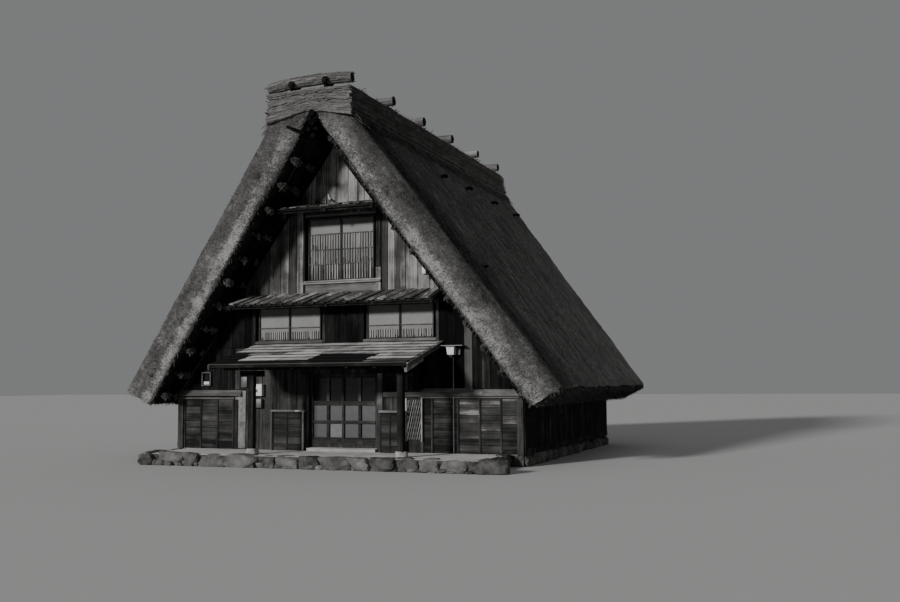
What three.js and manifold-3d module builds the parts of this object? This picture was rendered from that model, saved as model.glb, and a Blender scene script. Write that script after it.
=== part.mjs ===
// A steep thatched farmhouse: boarded ground floor, two upper storeys in the gable,
// pole-framed roof with two thick thatch slopes, a ridge cap with cross logs,
// board pent roofs between the storeys and a lean-to porch over a sliding door.
// Millimetres. +X right along the gable front, +Y back along the ridge, +Z up,
// origin on the ground under the middle of the house.

import * as THREE from 'three';
import { mergeVertices } from 'three/addons/utils/BufferGeometryUtils.js';
import Module from 'manifold-3d';

const wasm = await Module();
wasm.setup();

// Driving dimensions
const SEAT = 0.3;                    // gap left between two pieces that touch
const HOUSE_W = 9100;                // outside the side walls
const HOUSE_L = 8460;                // outside the gable walls
const BASE_H = 265;                  // top of the stone base
const TERRACE = { left: -4200, right: 4150, depth: 1880 };
const WALL_T = 120;
const POST = 140;

const EAVE = { x: 5632, z: 1735 };   // outer edge of the thatch
const TIP = { x: 4920, z: 1346 };    // inner lower edge of the thatch
const SLOPE_TOP = { x: 1116, z: 7862 };
const VERGE_LOW = 759;               // thatch beyond the gable wall at the eave
const VERGE_HIGH = 1491;             // and under the ridge cap

const UPPER_FLOOR_TOP = 2760;
const LOFT_FLOOR_TOP = 4020;
const PEAK_BOTTOM = 6100;
const FLOOR_T = 100;

const PURLIN_R = 60;
const PURLIN_COUNT = 11;
const PURLIN_FIRST = 390;            // along the slope from the thatch tip
const PURLIN_STEP = 680;
const RAFTER_DEPTH = 200;
const EAVE_RAFTER_DEPTH = 110;
const VERGE_POLE_R = 48;

const DOOR = { left: -815, right: 1000, sill: 345, head: 2095, clear: 6 };
const PORCH = { left: -2275, right: 2618, wallZ: 2820, eaveZ: 2306, depth: 2033, thick: 45 };
const PORCH_POST = { left: -1500, right: 2235, y: 1450, size: 140 };

// Worked out
const FRONT = -HOUSE_L / 2;
const BACK = HOUSE_L / 2;
const SIDE = HOUSE_W / 2;
const slopeX = EAVE.x - SLOPE_TOP.x;
const slopeZ = SLOPE_TOP.z - EAVE.z;
const slopeLength = Math.hypot(slopeX, slopeZ);
const COS = slopeX / slopeLength;
const SIN = slopeZ / slopeLength;
const TAN = slopeZ / slopeX;

// Depth is measured square to the slope, inwards from the underside of the thatch.
const underside = (z, depth) => TIP.x - SIN * depth - (z - TIP.z + COS * depth) / TAN;
const undersideZ = (x, depth) => TIP.z - COS * depth + (TIP.x - SIN * depth - x) * TAN;
const slopePoint = (along, depth) => [
  TIP.x - COS * along - SIN * depth,
  TIP.z + SIN * along - COS * depth,
];
const vergeReach = (z) =>
  VERGE_LOW + ((z - EAVE.z) * (VERGE_HIGH - VERGE_LOW)) / (SLOPE_TOP.z - EAVE.z);

const PURLIN_DEPTH = SEAT + PURLIN_R * Math.cos(Math.PI / 6);
const PURLIN_LAYER = SEAT + 2 * PURLIN_R * Math.cos(Math.PI / 6);
const NOTCH = 25;
const RAFTER_IN = PURLIN_LAYER - NOTCH + RAFTER_DEPTH;
const EAVE_RAFTER_IN = PURLIN_LAYER - NOTCH + EAVE_RAFTER_DEPTH;

// Materials
const look = (colour, roughness, metalness = 0) =>
  new THREE.MeshStandardMaterial({ color: colour, roughness, metalness });
const thatch = look(0x6f6a62, 1);
const ridgeStraw = look(0x8d877c, 1);
const agedBoard = look(0x6a645c, 0.9);
const darkTimber = look(0x3a3632, 0.85);
const roofBoard = look(0xa19c94, 0.85);
const paleTimber = look(0xb0aaa0, 0.8);
const sashWood = look(0x57514a, 0.8);
const pane = look(0xd4d6d4, 0.25);
const stone = look(0x8a8782, 0.95);
const enamel = look(0xdedcd6, 0.4);

// Geometry helpers
const house = new THREE.Group();

function add(name, geometry, material) {
  const mesh = new THREE.Mesh(geometry, material);
  mesh.name = name;
  house.add(mesh);
}

function toSolid(geometry) {
  const bare = geometry.clone();
  bare.deleteAttribute('normal');
  bare.deleteAttribute('uv');
  const merged = mergeVertices(bare, 1e-4);
  return new wasm.Manifold(new wasm.Mesh({
    numProp: 3,
    vertProperties: Float32Array.from(merged.attributes.position.array),
    triVerts: Uint32Array.from(merged.index.array),
  }));
}

function toGeometry(solid) {
  const mesh = solid.getMesh();
  const geometry = new THREE.BufferGeometry();
  geometry.setAttribute('position', new THREE.BufferAttribute(mesh.vertProperties, 3));
  geometry.setIndex(new THREE.BufferAttribute(mesh.triVerts, 1));
  geometry.computeVertexNormals();
  return geometry;
}

function join(...geometries) {
  return toGeometry(geometries.map(toSolid).reduce((whole, one) => whole.add(one)));
}

function keepInside(geometry, room) {
  return toGeometry(toSolid(geometry).intersect(toSolid(room)));
}

function box(x0, x1, y0, y1, z0, z1) {
  const geometry = new THREE.BoxGeometry(x1 - x0, y1 - y0, z1 - z0);
  return geometry.translate((x0 + x1) / 2, (y0 + y1) / 2, (z0 + z1) / 2);
}

// An upright plate: outline in X and Z, thickness from y0 to y1.
function plate(outline, y0, y1) {
  const shape = new THREE.Shape(outline.map(([x, z]) => new THREE.Vector2(x, z)));
  const geometry = new THREE.ExtrudeGeometry(shape, { depth: y1 - y0, bevelEnabled: false });
  return geometry.rotateX(Math.PI / 2).translate(0, y1, 0);
}

// The same plate with rectangles cut through it, each given as x0, x1, z0, z1.
function pierced(outline, y0, y1, holes) {
  const past = 10;
  const cutters = holes.map(([x0, x1, z0, z1]) => box(x0, x1, y0 - past, y1 + past, z0, z1));
  const cut = (whole, cutter) => whole.subtract(toSolid(cutter));
  return toGeometry(cutters.reduce(cut, toSolid(plate(outline, y0, y1))));
}

const rectangle = (x0, x1, z0, z1) => [[x0, z0], [x1, z0], [x1, z1], [x0, z1]];

// A plate whose outline is in Y and Z and which runs along X.
function alongX(outline, x0, x1) {
  const shape = new THREE.Shape(outline.map(([y, z]) => new THREE.Vector2(y, z)));
  const geometry = new THREE.ExtrudeGeometry(shape, { depth: x1 - x0, bevelEnabled: false });
  return geometry.rotateX(Math.PI / 2).rotateZ(Math.PI / 2).translate(x0, 0, 0);
}

function pole(from, to, radius, sides = 6) {
  const start = new THREE.Vector3(...from);
  const run = new THREE.Vector3(...to).sub(start);
  const geometry = new THREE.CylinderGeometry(radius, radius, run.length(), sides);
  geometry.rotateY(Math.PI / sides).rotateX(Math.PI / 2);
  const turn = new THREE.Quaternion().setFromUnitVectors(
    new THREE.Vector3(0, 0, 1),
    run.clone().normalize(),
  );
  geometry.applyQuaternion(turn);
  return geometry.translate(...start.addScaledVector(run, 0.5));
}

// Mirrors a piece across the middle of the house, along X or along Y.
function mirrored(geometry, axis) {
  const flip = axis === 'x' ? [-1, 1, 1] : [1, -1, 1];
  const whole = toSolid(geometry);
  return toGeometry(whole.scale(flip));
}
const faceBack = (geometry) => mirrored(geometry, 'y');

// Stone base: a low platform under the house with a terrace before the door
function stoneBase() {
  const outline = [
    [-SIDE, BACK], [-SIDE, FRONT], [TERRACE.left, FRONT],
    [TERRACE.left, FRONT - TERRACE.depth], [TERRACE.right, FRONT - TERRACE.depth],
    [TERRACE.right, FRONT], [SIDE, FRONT], [SIDE, BACK],
  ];
  const shape = new THREE.Shape(outline.map(([x, y]) => new THREE.Vector2(x, y)));
  return new THREE.ExtrudeGeometry(shape, { depth: BASE_H, bevelEnabled: false });
}
add('stone_base', stoneBase(), stone);

// Ground floor walls
const wallFoot = BASE_H + SEAT;
const wallHead = UPPER_FLOOR_TOP - SEAT;
const postXs = { left: [-SIDE, -2940], right: [2010] };

function endWall(xInner, sign) {
  const eaveLine = (z) => sign * (underside(z, EAVE_RAFTER_IN) - SEAT);
  const outline = [
    [xInner, wallFoot],
    [sign * SIDE, wallFoot],
    [sign * SIDE, undersideZ(SIDE, EAVE_RAFTER_IN) - SEAT],
    [eaveLine(wallHead), wallHead],
    [xInner, wallHead],
  ];
  return sign > 0 ? outline : outline.reverse();
}

function groundFrontWalls() {
  const inner = FRONT + WALL_T;
  const jambs = { left: DOOR.left - SEAT, right: DOOR.right + SEAT };
  const out = 25;
  const post = (x) => box(x, x + POST, FRONT - out, inner, wallFoot, 1480);
  const jamb = (x) => box(x, x + POST, FRONT - out, inner + out, wallFoot, DOOR.head);
  add('front_wall_left', join(
    plate(endWall(jambs.left, -1), FRONT, inner),
    ...postXs.left.map(post),
    jamb(jambs.left - POST),
  ), agedBoard);
  add('front_wall_right', join(
    plate(endWall(jambs.right, 1), FRONT, inner),
    ...postXs.right.map(post),
    post(SIDE - POST),
    jamb(jambs.right),
  ), agedBoard);
  const lintel = plate(
    rectangle(DOOR.left, DOOR.right, DOOR.head, wallHead),
    FRONT,
    inner,
  );
  add('door_lintel', lintel, darkTimber);
}
groundFrontWalls();

const backWall = [
  ...endWall(0, 1).slice(1, 4),
  ...endWall(0, -1).slice(1, 4),
];
add('back_wall', plate(backWall, BACK - WALL_T, BACK), agedBoard);

function sideWall(sign) {
  const outer = sign * SIDE;
  const inner = sign * (SIDE - WALL_T);
  const top = (x) => undersideZ(Math.abs(x), EAVE_RAFTER_IN) - SEAT;
  const outline = [[inner, wallFoot], [outer, wallFoot], [outer, top(outer)], [inner, top(inner)]];
  const y0 = FRONT + WALL_T + SEAT;
  return plate(sign > 0 ? outline : outline.reverse(), y0, -y0);
}
add('side_wall_left', sideWall(-1), agedBoard);
add('side_wall_right', sideWall(1), agedBoard);

// Upper gable walls, one for each storey, with the window openings cut through
const sashDepth = 90;
const frameBar = 66;
const WINDOWS = {
  upperLeft: { left: -2246, right: -518, bottom: 2906, top: 3740, rails: [3430] },
  upperRight: { left: 705, right: 2423, bottom: 2906, top: 3740, rails: [3430] },
  top: { left: -868, right: 898, bottom: 4337, top: 5874, rails: [4740, 5100, 5480] },
};

const windowHole = (w) => [
  w.left - frameBar,
  w.right + frameBar,
  w.bottom - frameBar,
  w.top + frameBar,
];

function gableTier(bottom, top, holes) {
  const low = underside(bottom, RAFTER_IN) - SEAT;
  const high = underside(top, RAFTER_IN) - SEAT;
  const outline = [[-low, bottom], [low, bottom], [high, top], [-high, top]];
  return pierced(outline, FRONT, FRONT + WALL_T, holes);
}

function gablePeak() {
  const bottom = PEAK_BOTTOM + SEAT;
  const low = underside(bottom, RAFTER_IN) - SEAT;
  const apex = undersideZ(SEAT, RAFTER_IN) - SEAT;
  return plate([[-low, bottom], [low, bottom], [0, apex]], FRONT, FRONT + WALL_T);
}

const upperTier = () => gableTier(UPPER_FLOOR_TOP + SEAT, LOFT_FLOOR_TOP - SEAT, [
  windowHole(WINDOWS.upperLeft),
  windowHole(WINDOWS.upperRight),
]);
const topTier = () => gableTier(LOFT_FLOOR_TOP + SEAT, PEAK_BOTTOM - SEAT, [
  windowHole(WINDOWS.top),
]);

add('front_upper_wall', upperTier(), agedBoard);
add('front_top_wall', topTier(), agedBoard);
add('front_gable_peak', gablePeak(), agedBoard);
add('back_upper_wall', faceBack(upperTier()), agedBoard);
add('back_top_wall', faceBack(topTier()), agedBoard);
add('back_gable_peak', faceBack(gablePeak()), agedBoard);

// Window frames with a middle bar and rails, and one pane sheet for each storey
function windowFrame(w) {
  const bar = 24;
  const middle = (w.left + w.right) / 2;
  const levels = [w.bottom, ...w.rails, w.top];
  const holes = [];
  for (let row = 0; row + 1 < levels.length; row += 1) {
    const low = row === 0 ? levels[row] : levels[row] + bar / 2;
    const high = row + 2 === levels.length ? levels[row + 1] : levels[row + 1] - bar / 2;
    holes.push([w.left, middle - bar, low, high]);
    holes.push([middle + bar, w.right, low, high]);
  }
  const outer = rectangle(
    w.left - frameBar + SEAT,
    w.right + frameBar - SEAT,
    w.bottom - frameBar + SEAT,
    w.top + frameBar - SEAT,
  );
  return pierced(outer, FRONT + 10, FRONT + 10 + sashDepth, holes);
}

function paneSheet(left, right, bottom, top) {
  const overlap = 20;
  const y0 = FRONT + WALL_T + SEAT;
  return box(left - overlap, right + overlap, y0, y0 + 5, bottom - overlap, top + overlap);
}

const upperPane = () => paneSheet(
  WINDOWS.upperLeft.left - frameBar,
  WINDOWS.upperRight.right + frameBar,
  WINDOWS.upperLeft.bottom,
  WINDOWS.upperLeft.top + frameBar,
);
const topPane = () => paneSheet(
  WINDOWS.top.left - frameBar,
  WINDOWS.top.right + frameBar,
  WINDOWS.top.bottom - frameBar,
  WINDOWS.top.top + frameBar,
);

const sides = [['front', (geometry) => geometry], ['back', faceBack]];
for (const [name, place] of sides) {
  add(`${name}_left_window`, place(windowFrame(WINDOWS.upperLeft)), sashWood);
  add(`${name}_right_window`, place(windowFrame(WINDOWS.upperRight)), sashWood);
  add(`${name}_top_window`, place(windowFrame(WINDOWS.top)), sashWood);
  add(`${name}_upper_panes`, place(upperPane()), pane);
  add(`${name}_top_panes`, place(topPane()), pane);
}

// Floors of the two upper storeys
function floorPlate(top, halfWidth) {
  const end = FRONT + WALL_T + SEAT + 6;
  return box(-halfWidth, halfWidth, end, -end, top - FLOOR_T, top);
}
const upperFloorHalf = underside(UPPER_FLOOR_TOP, PURLIN_LAYER) - 20;
add('upper_floor', floorPlate(UPPER_FLOOR_TOP, upperFloorHalf), darkTimber);
const loftFloorHalf = underside(LOFT_FLOOR_TOP, RAFTER_IN) - SEAT;
add('loft_floor', floorPlate(LOFT_FLOOR_TOP, loftFloorHalf), darkTimber);

// Roof frame: principal rafters on the upper floor, short eave rafters on the
// side wall, purlins along the house and a leaning pole inside each verge
function slopingBar(y0, y1, depth0, depth1, along0, along1) {
  const outline = [
    slopePoint(along0, depth0),
    slopePoint(along1, depth0),
    slopePoint(along1, depth1),
    slopePoint(along0, depth1),
  ];
  return plate(outline, y0, y1);
}

function roofFrame(sign) {
  const rafterTop = PURLIN_LAYER - NOTCH;
  const length = TIP.x / COS;
  const bays = 4;
  const bars = [];
  const walls = { first: FRONT + WALL_T / 2, last: BACK - WALL_T / 2 };
  const main = box(SEAT, HOUSE_W, FRONT, BACK, UPPER_FLOOR_TOP + SEAT, 9000);
  for (let i = 0; i <= bays; i += 1) {
    const y = walls.first + ((walls.last - walls.first) * i) / bays;
    const [y0, y1] = [y - WALL_T / 2, y + WALL_T / 2];
    const rafter = slopingBar(y0, y1, rafterTop, RAFTER_IN, 800, length);
    bars.push(keepInside(rafter, main));
    bars.push(slopingBar(y0, y1, rafterTop, EAVE_RAFTER_IN, 150, 1560));
  }
  for (let i = 0; i < PURLIN_COUNT; i += 1) {
    const [x, z] = slopePoint(PURLIN_FIRST + PURLIN_STEP * i, PURLIN_DEPTH);
    const reach = HOUSE_L / 2 + vergeReach(z) - 190;
    const purlin = new THREE.CylinderGeometry(PURLIN_R, PURLIN_R, 2 * reach, 6);
    purlin.rotateY(Math.atan2(SIN, COS) - Math.PI / 6);
    bars.push(purlin.translate(x, 0, z));
  }
  for (const end of [-1, 1]) {
    const point = (along) => {
      const [x, z] = slopePoint(along, rafterTop + VERGE_POLE_R);
      return [x, end * (HOUSE_L / 2 + vergeReach(z) - 300), z];
    };
    bars.push(pole(point(200), point(length - 900), VERGE_POLE_R));
  }
  const frame = join(...bars);
  return sign > 0 ? frame : mirrored(frame, 'x');
}

// Thatch slopes: thick slabs whose verges lean out towards the ridge
const CAP = { half: 1098, side: 7905, middle: 8190, top: 8500, crown: 8575, reach: 1560 };
const CAP_BACK = { low: 1500, high: 930 };    // the back end leans in towards its top
const RIDGE_POLE = { x: 420, top: 8605, r: 100, out: 70 };
const LOG = { count: 6, first: -1513, step: 2046, half: 1200, r: 130 };
const logPlaces = Array.from({ length: LOG.count }, (_, i) => FRONT + LOG.first + LOG.step * i);

function thatchSlope(sign) {
  const outline = [
    [TIP.x, TIP.z],
    [EAVE.x, EAVE.z],
    [CAP.half, CAP.side - SEAT],
    [SEAT, CAP.middle - SEAT],
    [SEAT, undersideZ(SEAT, 0)],
  ];
  const slope = plate(outline, -1, 1);
  const points = slope.attributes.position;
  for (let i = 0; i < points.count; i += 1) {
    const reach = HOUSE_L / 2 + vergeReach(points.getZ(i));
    points.setY(i, Math.sign(points.getY(i)) * reach);
  }
  return sign > 0 ? slope : mirrored(slope, 'x');
}
add('roof_frame_right', roofFrame(1), darkTimber);
add('roof_frame_left', roofFrame(-1), darkTimber);
add('thatch_right', thatchSlope(1), thatch);
add('thatch_left', thatchSlope(-1), thatch);

// Ridge cap on two ridge poles, and the cross logs that hold it down
function ridgeCap() {
  const outline = [
    [-CAP.half, CAP.side], [0, CAP.middle], [CAP.half, CAP.side],
    [CAP.half, CAP.top], [CAP.half / 2, CAP.crown], [-CAP.half / 2, CAP.crown],
    [-CAP.half, CAP.top],
  ];
  const front = FRONT - CAP.reach;
  const body = plate(outline, front, BACK);
  const points = body.attributes.position;
  const lean = (CAP_BACK.low - CAP_BACK.high) / (CAP.crown - CAP.side);
  for (let i = 0; i < points.count; i += 1) {
    if (points.getY(i) > 0) {
      points.setY(i, BACK + CAP_BACK.low - lean * (points.getZ(i) - CAP.side));
    }
  }
  const z = RIDGE_POLE.top - RIDGE_POLE.r * Math.cos(Math.PI / 8);
  const ridgePole = (x) => pole(
    [x, front - RIDGE_POLE.out, z],
    [x, BACK + CAP_BACK.high + RIDGE_POLE.out, z],
    RIDGE_POLE.r,
    8,
  );
  return join(body, ridgePole(-RIDGE_POLE.x), ridgePole(RIDGE_POLE.x));
}
add('ridge_cap', ridgeCap(), ridgeStraw);

logPlaces.forEach((y, i) => {
  const z = RIDGE_POLE.top + SEAT + LOG.r * Math.cos(Math.PI / 8);
  const log = new THREE.CylinderGeometry(LOG.r, LOG.r, 2 * LOG.half, 8);
  log.rotateZ(Math.PI / 2).rotateX(Math.PI / 8);
  add(`ridge_log_${i + 1}`, log.translate(0, y, z), paleTimber);
});

// Pent roofs over the upper windows
const PENTS = {
  middle_pent_roof: { left: -2780, right: 2650, wallZ: 4023, eaveZ: 3760, depth: 594 },
  top_pent_roof: { left: -1290, right: 1240, wallZ: 6190, eaveZ: 6001, depth: 759 },
};

function pentRoof(p) {
  const thick = 40;
  const y0 = FRONT - SEAT;
  const outline = [
    [y0, p.wallZ], [y0 - p.depth, p.eaveZ],
    [y0 - p.depth, p.eaveZ - thick], [y0, p.wallZ - thick],
  ];
  return alongX(outline, p.left, p.right);
}
for (const [name, place] of sides) {
  for (const [part, size] of Object.entries(PENTS)) {
    add(`${name}_${part}`, place(pentRoof(size)), roofBoard);
  }
}

// Porch: two posts, a frame of beam and rafters, and a boarded roof
const porchFall = (PORCH.wallZ - PORCH.eaveZ) / PORCH.depth;
const porchTopAt = (out) => PORCH.wallZ - porchFall * out;

function porchRoof() {
  const under = (out) => porchTopAt(out) - PORCH.thick;
  const outline = [
    [FRONT - SEAT, PORCH.wallZ], [FRONT - PORCH.depth, PORCH.eaveZ],
    [FRONT - PORCH.depth, under(PORCH.depth)], [FRONT - SEAT, under(0)],
  ];
  return alongX(outline, PORCH.left, PORCH.right);
}

function porchFrame() {
  const rafter = { width: 60, depth: 75, count: 8, inset: 60 };
  const under = (out) => porchTopAt(out) - PORCH.thick - SEAT;
  const beamY = FRONT - PORCH_POST.y;
  const half = PORCH_POST.size / 2;
  const beamTop = under(PORCH_POST.y) - rafter.depth + 20;
  const beamBottom = beamTop - 170;
  const reachOut = PORCH.depth - 40;
  const bars = [
    box(PORCH.left + 40, PORCH.right - 40, beamY - half, beamY + half, beamBottom, beamTop),
  ];
  const first = PORCH.left + rafter.inset;
  const step = (PORCH.right - rafter.inset - rafter.width - first) / (rafter.count - 1);
  for (let i = 0; i < rafter.count; i += 1) {
    const x = first + step * i;
    const outline = [
      [FRONT - SEAT, under(0)], [FRONT - reachOut, under(reachOut)],
      [FRONT - reachOut, under(reachOut) - rafter.depth], [FRONT - SEAT, under(0) - rafter.depth],
    ];
    bars.push(alongX(outline, x, x + rafter.width));
  }
  add('porch_frame', join(...bars), darkTimber);
  for (const side of ['left', 'right']) {
    const x = PORCH_POST[side];
    const post = box(x - half, x + half, beamY - half, beamY + half, wallFoot, beamBottom - SEAT);
    add(`porch_post_${side}`, post, agedBoard);
  }
}
add('porch_roof', porchRoof(), roofBoard);
porchFrame();

// Sliding entrance doors, on two tracks in the threshold
const doorLeaf = { width: 940, thick: 33, top: DOOR.head - DOOR.clear };
const track = { outer: FRONT + 14, inner: FRONT + 14 + doorLeaf.thick + 12 };

function threshold() {
  const front = FRONT - 150;
  const top = DOOR.sill - SEAT;
  const body = box(DOOR.left, DOOR.right, FRONT - 20, FRONT + WALL_T, wallFoot, top);
  const nosing = box(DOOR.left + 5, DOOR.right - 5, front, FRONT - 15, wallFoot, top - 10);
  return join(body, nosing);
}
add('door_threshold', threshold(), paleTimber);

function doorPanel(x0, y0) {
  const x1 = x0 + doorLeaf.width;
  const stile = 55;
  const bar = 34;
  const middle = (x0 + x1) / 2;
  const levels = [DOOR.sill + 215, 950, 1390, doorLeaf.top - 80];
  const holes = [];
  for (let row = 0; row + 1 < levels.length; row += 1) {
    const low = levels[row] + (row > 0 ? bar / 2 : 0);
    const high = levels[row + 1] - (row + 2 < levels.length ? bar / 2 : 0);
    holes.push([x0 + stile, middle - bar / 2, low, high]);
    holes.push([middle + bar / 2, x1 - stile, low, high]);
  }
  return pierced(rectangle(x0, x1, DOOR.sill, doorLeaf.top), y0, y0 + doorLeaf.thick, holes);
}

function doorPane(x0, y0) {
  const paneThick = 4;
  const rim = 30;
  const y = y0 + doorLeaf.thick + SEAT;
  return box(
    x0 + rim,
    x0 + doorLeaf.width - rim,
    y,
    y + paneThick,
    DOOR.sill + 190,
    doorLeaf.top - 55,
  );
}
const leafPlaces = {
  right: [DOOR.right - DOOR.clear - doorLeaf.width, track.outer],
  left: [DOOR.left + DOOR.clear, track.inner],
};
for (const [side, [x0, y0]] of Object.entries(leafPlaces)) {
  add(`door_${side}`, doorPanel(x0, y0), sashWood);
  add(`door_${side}_panes`, doorPane(x0, y0), pane);
}

// Folding lattice gate, lamp on its wall pipe, and the meter box
function foldingGate() {
  const g = { left: 1740, right: 2150, bottom: 560, top: 1480, bar: 13, cells: 5 };
  const y = FRONT - 70;
  const step = (g.top - g.bottom) / g.cells;
  const bars = [];
  const corner = (x, z) => [x, y, z];
  for (let i = 0; i < g.cells; i += 1) {
    const low = g.bottom + step * i;
    bars.push(pole(corner(g.left, low), corner(g.right, low + step), g.bar, 4));
    bars.push(pole(corner(g.right, low), corner(g.left, low + step), g.bar, 4));
  }
  const stileY = [y - 16, FRONT - 25 - SEAT];
  bars.push(box(g.right - 15, g.right + 15, ...stileY, g.bottom - 40, g.top + 40));
  bars.push(box(g.left - 15, g.left + 15, y - 16, FRONT - SEAT, g.bottom - 40, g.top + 40));
  return join(...bars);
}
add('folding_gate', foldingGate(), paleTimber);

function wallLamp() {
  const l = { x: 2920, y: FRONT - 160, bottom: 2420, top: 2690, half: 75 };
  const pipe = box(l.x - 14, l.x + 14, FRONT - 40, FRONT - SEAT, wallFoot, l.bottom + 130);
  const arm = box(l.x - 12, l.x + 12, l.y, FRONT - 20, l.bottom + 90, l.bottom + 115);
  const head = box(
    l.x - l.half,
    l.x + l.half,
    l.y - l.half,
    l.y + l.half,
    l.bottom,
    l.top,
  );
  return join(pipe, arm, head);
}
add('wall_lamp', wallLamp(), enamel);
add('meter_box', box(-2360, -2060, FRONT - 140, FRONT - SEAT, 1550, 1880), enamel);

export default house;
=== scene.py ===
# The looks of the steep thatched farmhouse, in metres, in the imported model's frame.
import math
import random

import bmesh
import bpy
from mathutils import Matrix, Vector, noise


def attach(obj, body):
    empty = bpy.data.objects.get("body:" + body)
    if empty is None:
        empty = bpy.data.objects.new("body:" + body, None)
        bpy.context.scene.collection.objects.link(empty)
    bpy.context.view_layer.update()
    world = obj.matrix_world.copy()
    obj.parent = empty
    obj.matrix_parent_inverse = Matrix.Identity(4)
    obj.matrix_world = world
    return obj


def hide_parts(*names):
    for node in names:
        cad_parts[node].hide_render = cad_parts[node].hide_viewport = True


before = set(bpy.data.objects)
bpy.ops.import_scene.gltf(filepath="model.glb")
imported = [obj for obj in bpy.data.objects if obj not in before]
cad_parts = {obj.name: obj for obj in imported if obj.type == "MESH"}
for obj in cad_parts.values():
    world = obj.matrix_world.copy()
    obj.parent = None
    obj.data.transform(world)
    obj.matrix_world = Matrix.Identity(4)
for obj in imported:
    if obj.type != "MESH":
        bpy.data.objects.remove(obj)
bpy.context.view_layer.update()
noise.seed_set(1)  # or its vectors would differ from run to run

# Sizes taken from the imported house
FRONT, BACK, SIDE, BASE = -4.23, 4.23, 4.55, 0.265
TIP, EAVE = Vector((4.920, 0, 1.346)), Vector((5.632, 0, 1.735))
CAP_EDGE = Vector((1.098, 0, 7.905))
PEAK, INNER_PEAK = Vector((0, 0, 8.190)), Vector((0, 0, 8.021))
EAVE_HIGH, VERGE_LOW, VERGE_GROWTH = 1.735, 0.759, 0.732
SLOPE_X, SLOPE_Z = 4.516, 6.127
SLOPE_RUN = math.hypot(SLOPE_X, SLOPE_Z)
COS, SIN, TAN = SLOPE_X / SLOPE_RUN, SLOPE_Z / SLOPE_RUN, SLOPE_Z / SLOPE_X
THICK, SLOPE_LONG, CAP_SHARE = 0.811, 8.3, 0.9
CAP_FRONT, CAP_BACK, CAP_LEAN, CAP_HIGH = 5.785, BACK + 1.5, 0.57, 8.61
LOG_PLACES = [-5.743 + 2.046 * i for i in range(6)]
LOG_HIGH, ROLL_HIGH, ROLL_RISE = 8.735, 8.732, 0.0256
PURLIN_FIRST, PURLIN_STEP = 0.39, 0.68
LEFT_WINDOW = (-2.246, -0.518, 2.906, 3.740)
RIGHT_WINDOW = (0.705, 2.423, 2.906, 3.740)
TOP_WINDOW = (-0.868, 0.898, 4.337, 5.874)
LOW_RUNG, MIDDLE_RUNG, HIGH_RUNG, PAPER_FOOT = 4.74, 5.10, 5.48, 3.13
GROUND_HEAD, UPPER_FOOT, UPPER_HEAD = 2.74, 2.75, 4.0
LOFT_FOOT, LOFT_HEAD, PEAK_FOOT = 4.03, 6.08, 6.11
BOARD_FOOT, FRAME_FOOT, SCREEN_HEAD = 0.28, 0.27, 1.235
PORCH_DEEP, PORCH_DROP, PORCH_HIGH = 2.033, 0.514, 2.820
PORCH_LEFT, PORCH_RIGHT, PORCH_EDGE = -2.285, 2.628, FRONT - 2.033
STAY = Matrix.Identity(4)


def verge_reach(z):
    return VERGE_LOW + (z - EAVE_HIGH) * VERGE_GROWTH / SLOPE_Z


def roof_line(x, depth=0.115):
    """Height of the roof's underside at x, measured that far in from the thatch."""
    return TIP.z - COS * depth + (TIP.x - SIN * depth - abs(x)) * TAN


def under_slope(along, depth, sign=1, y=0):
    """A point under a slope: along it from the eave, and in from the thatch."""
    x, z = TIP.x - COS * along - SIN * depth, TIP.z + SIN * along - COS * depth
    return Vector((x * sign, y, z))


def slope_ways(sign):
    """Down the slope, and out of it."""
    return Vector((COS * sign, 0, -SIN)), Vector((SIN * sign, 0, COS))


def ease(value):
    value = max(0.0, min(1.0, value))
    return value * value * (3 - 2 * value)


def astray(luck, reach):
    return Vector([luck.uniform(-reach, reach) for _ in range(3)])


# Camera, light and floor
def link(thing):
    bpy.context.scene.collection.objects.link(thing)
    return thing


def aim_camera():
    """The camera that the photograph was taken with, solved from its points."""
    yaw, pitch, roll = 0.367, 0.081, -0.006
    level = math.cos(pitch)
    ahead = Vector((-math.sin(yaw) * level, math.cos(yaw) * level, math.sin(pitch)))
    right = Vector((math.cos(yaw), math.sin(yaw), 0))
    up = right.cross(ahead)
    across = right * math.cos(roll) + up * math.sin(roll)
    above = up * math.cos(roll) - right * math.sin(roll)
    camera = link(bpy.data.objects.new("camera", bpy.data.cameras.new("camera")))
    camera.data.lens, camera.data.sensor_width, camera.data.clip_end = 40.0, 36.0, 300
    turn = Matrix((across, above, -ahead)).transposed().to_4x4()
    camera.matrix_world = Matrix.Translation((11.044, -25.598, 1.879)) @ turn
    bpy.context.scene.camera = camera


def light_studio():
    """An overcast sky and a soft sun from the front left."""
    world = bpy.data.worlds.new("studio")
    world.use_nodes = True
    sky = world.node_tree.nodes["Background"].inputs
    sky["Color"].default_value, sky["Strength"].default_value = (0.80, 0.81, 0.82, 1), 0.25
    bpy.context.scene.world = world
    key = link(bpy.data.objects.new("key", bpy.data.lights.new("key", "SUN")))
    key.data.energy, key.data.angle = 3.1, 0.12
    key.rotation_mode = "QUATERNION"
    key.rotation_quaternion = Vector((-0.44, -1.00, 0.345)).to_track_quat("Z", "Y")


def lay_floor():
    bm = bmesh.new()
    bmesh.ops.create_grid(bm, x_segments=2, y_segments=2, size=120)
    shape = bpy.data.meshes.new("floor")
    bm.to_mesh(shape)
    bm.free()
    finish = Finish("studio_floor", 0.9)
    finish.shader["Base Color"].default_value = (0.52, 0.52, 0.51, 1)
    shape.materials.append(finish.made)
    floor = link(bpy.data.objects.new("floor", shape))


# Finishes
def grey(value, warm=0.02):
    return value * (1 + warm), value, value * (1 - 1.6 * warm)


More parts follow.
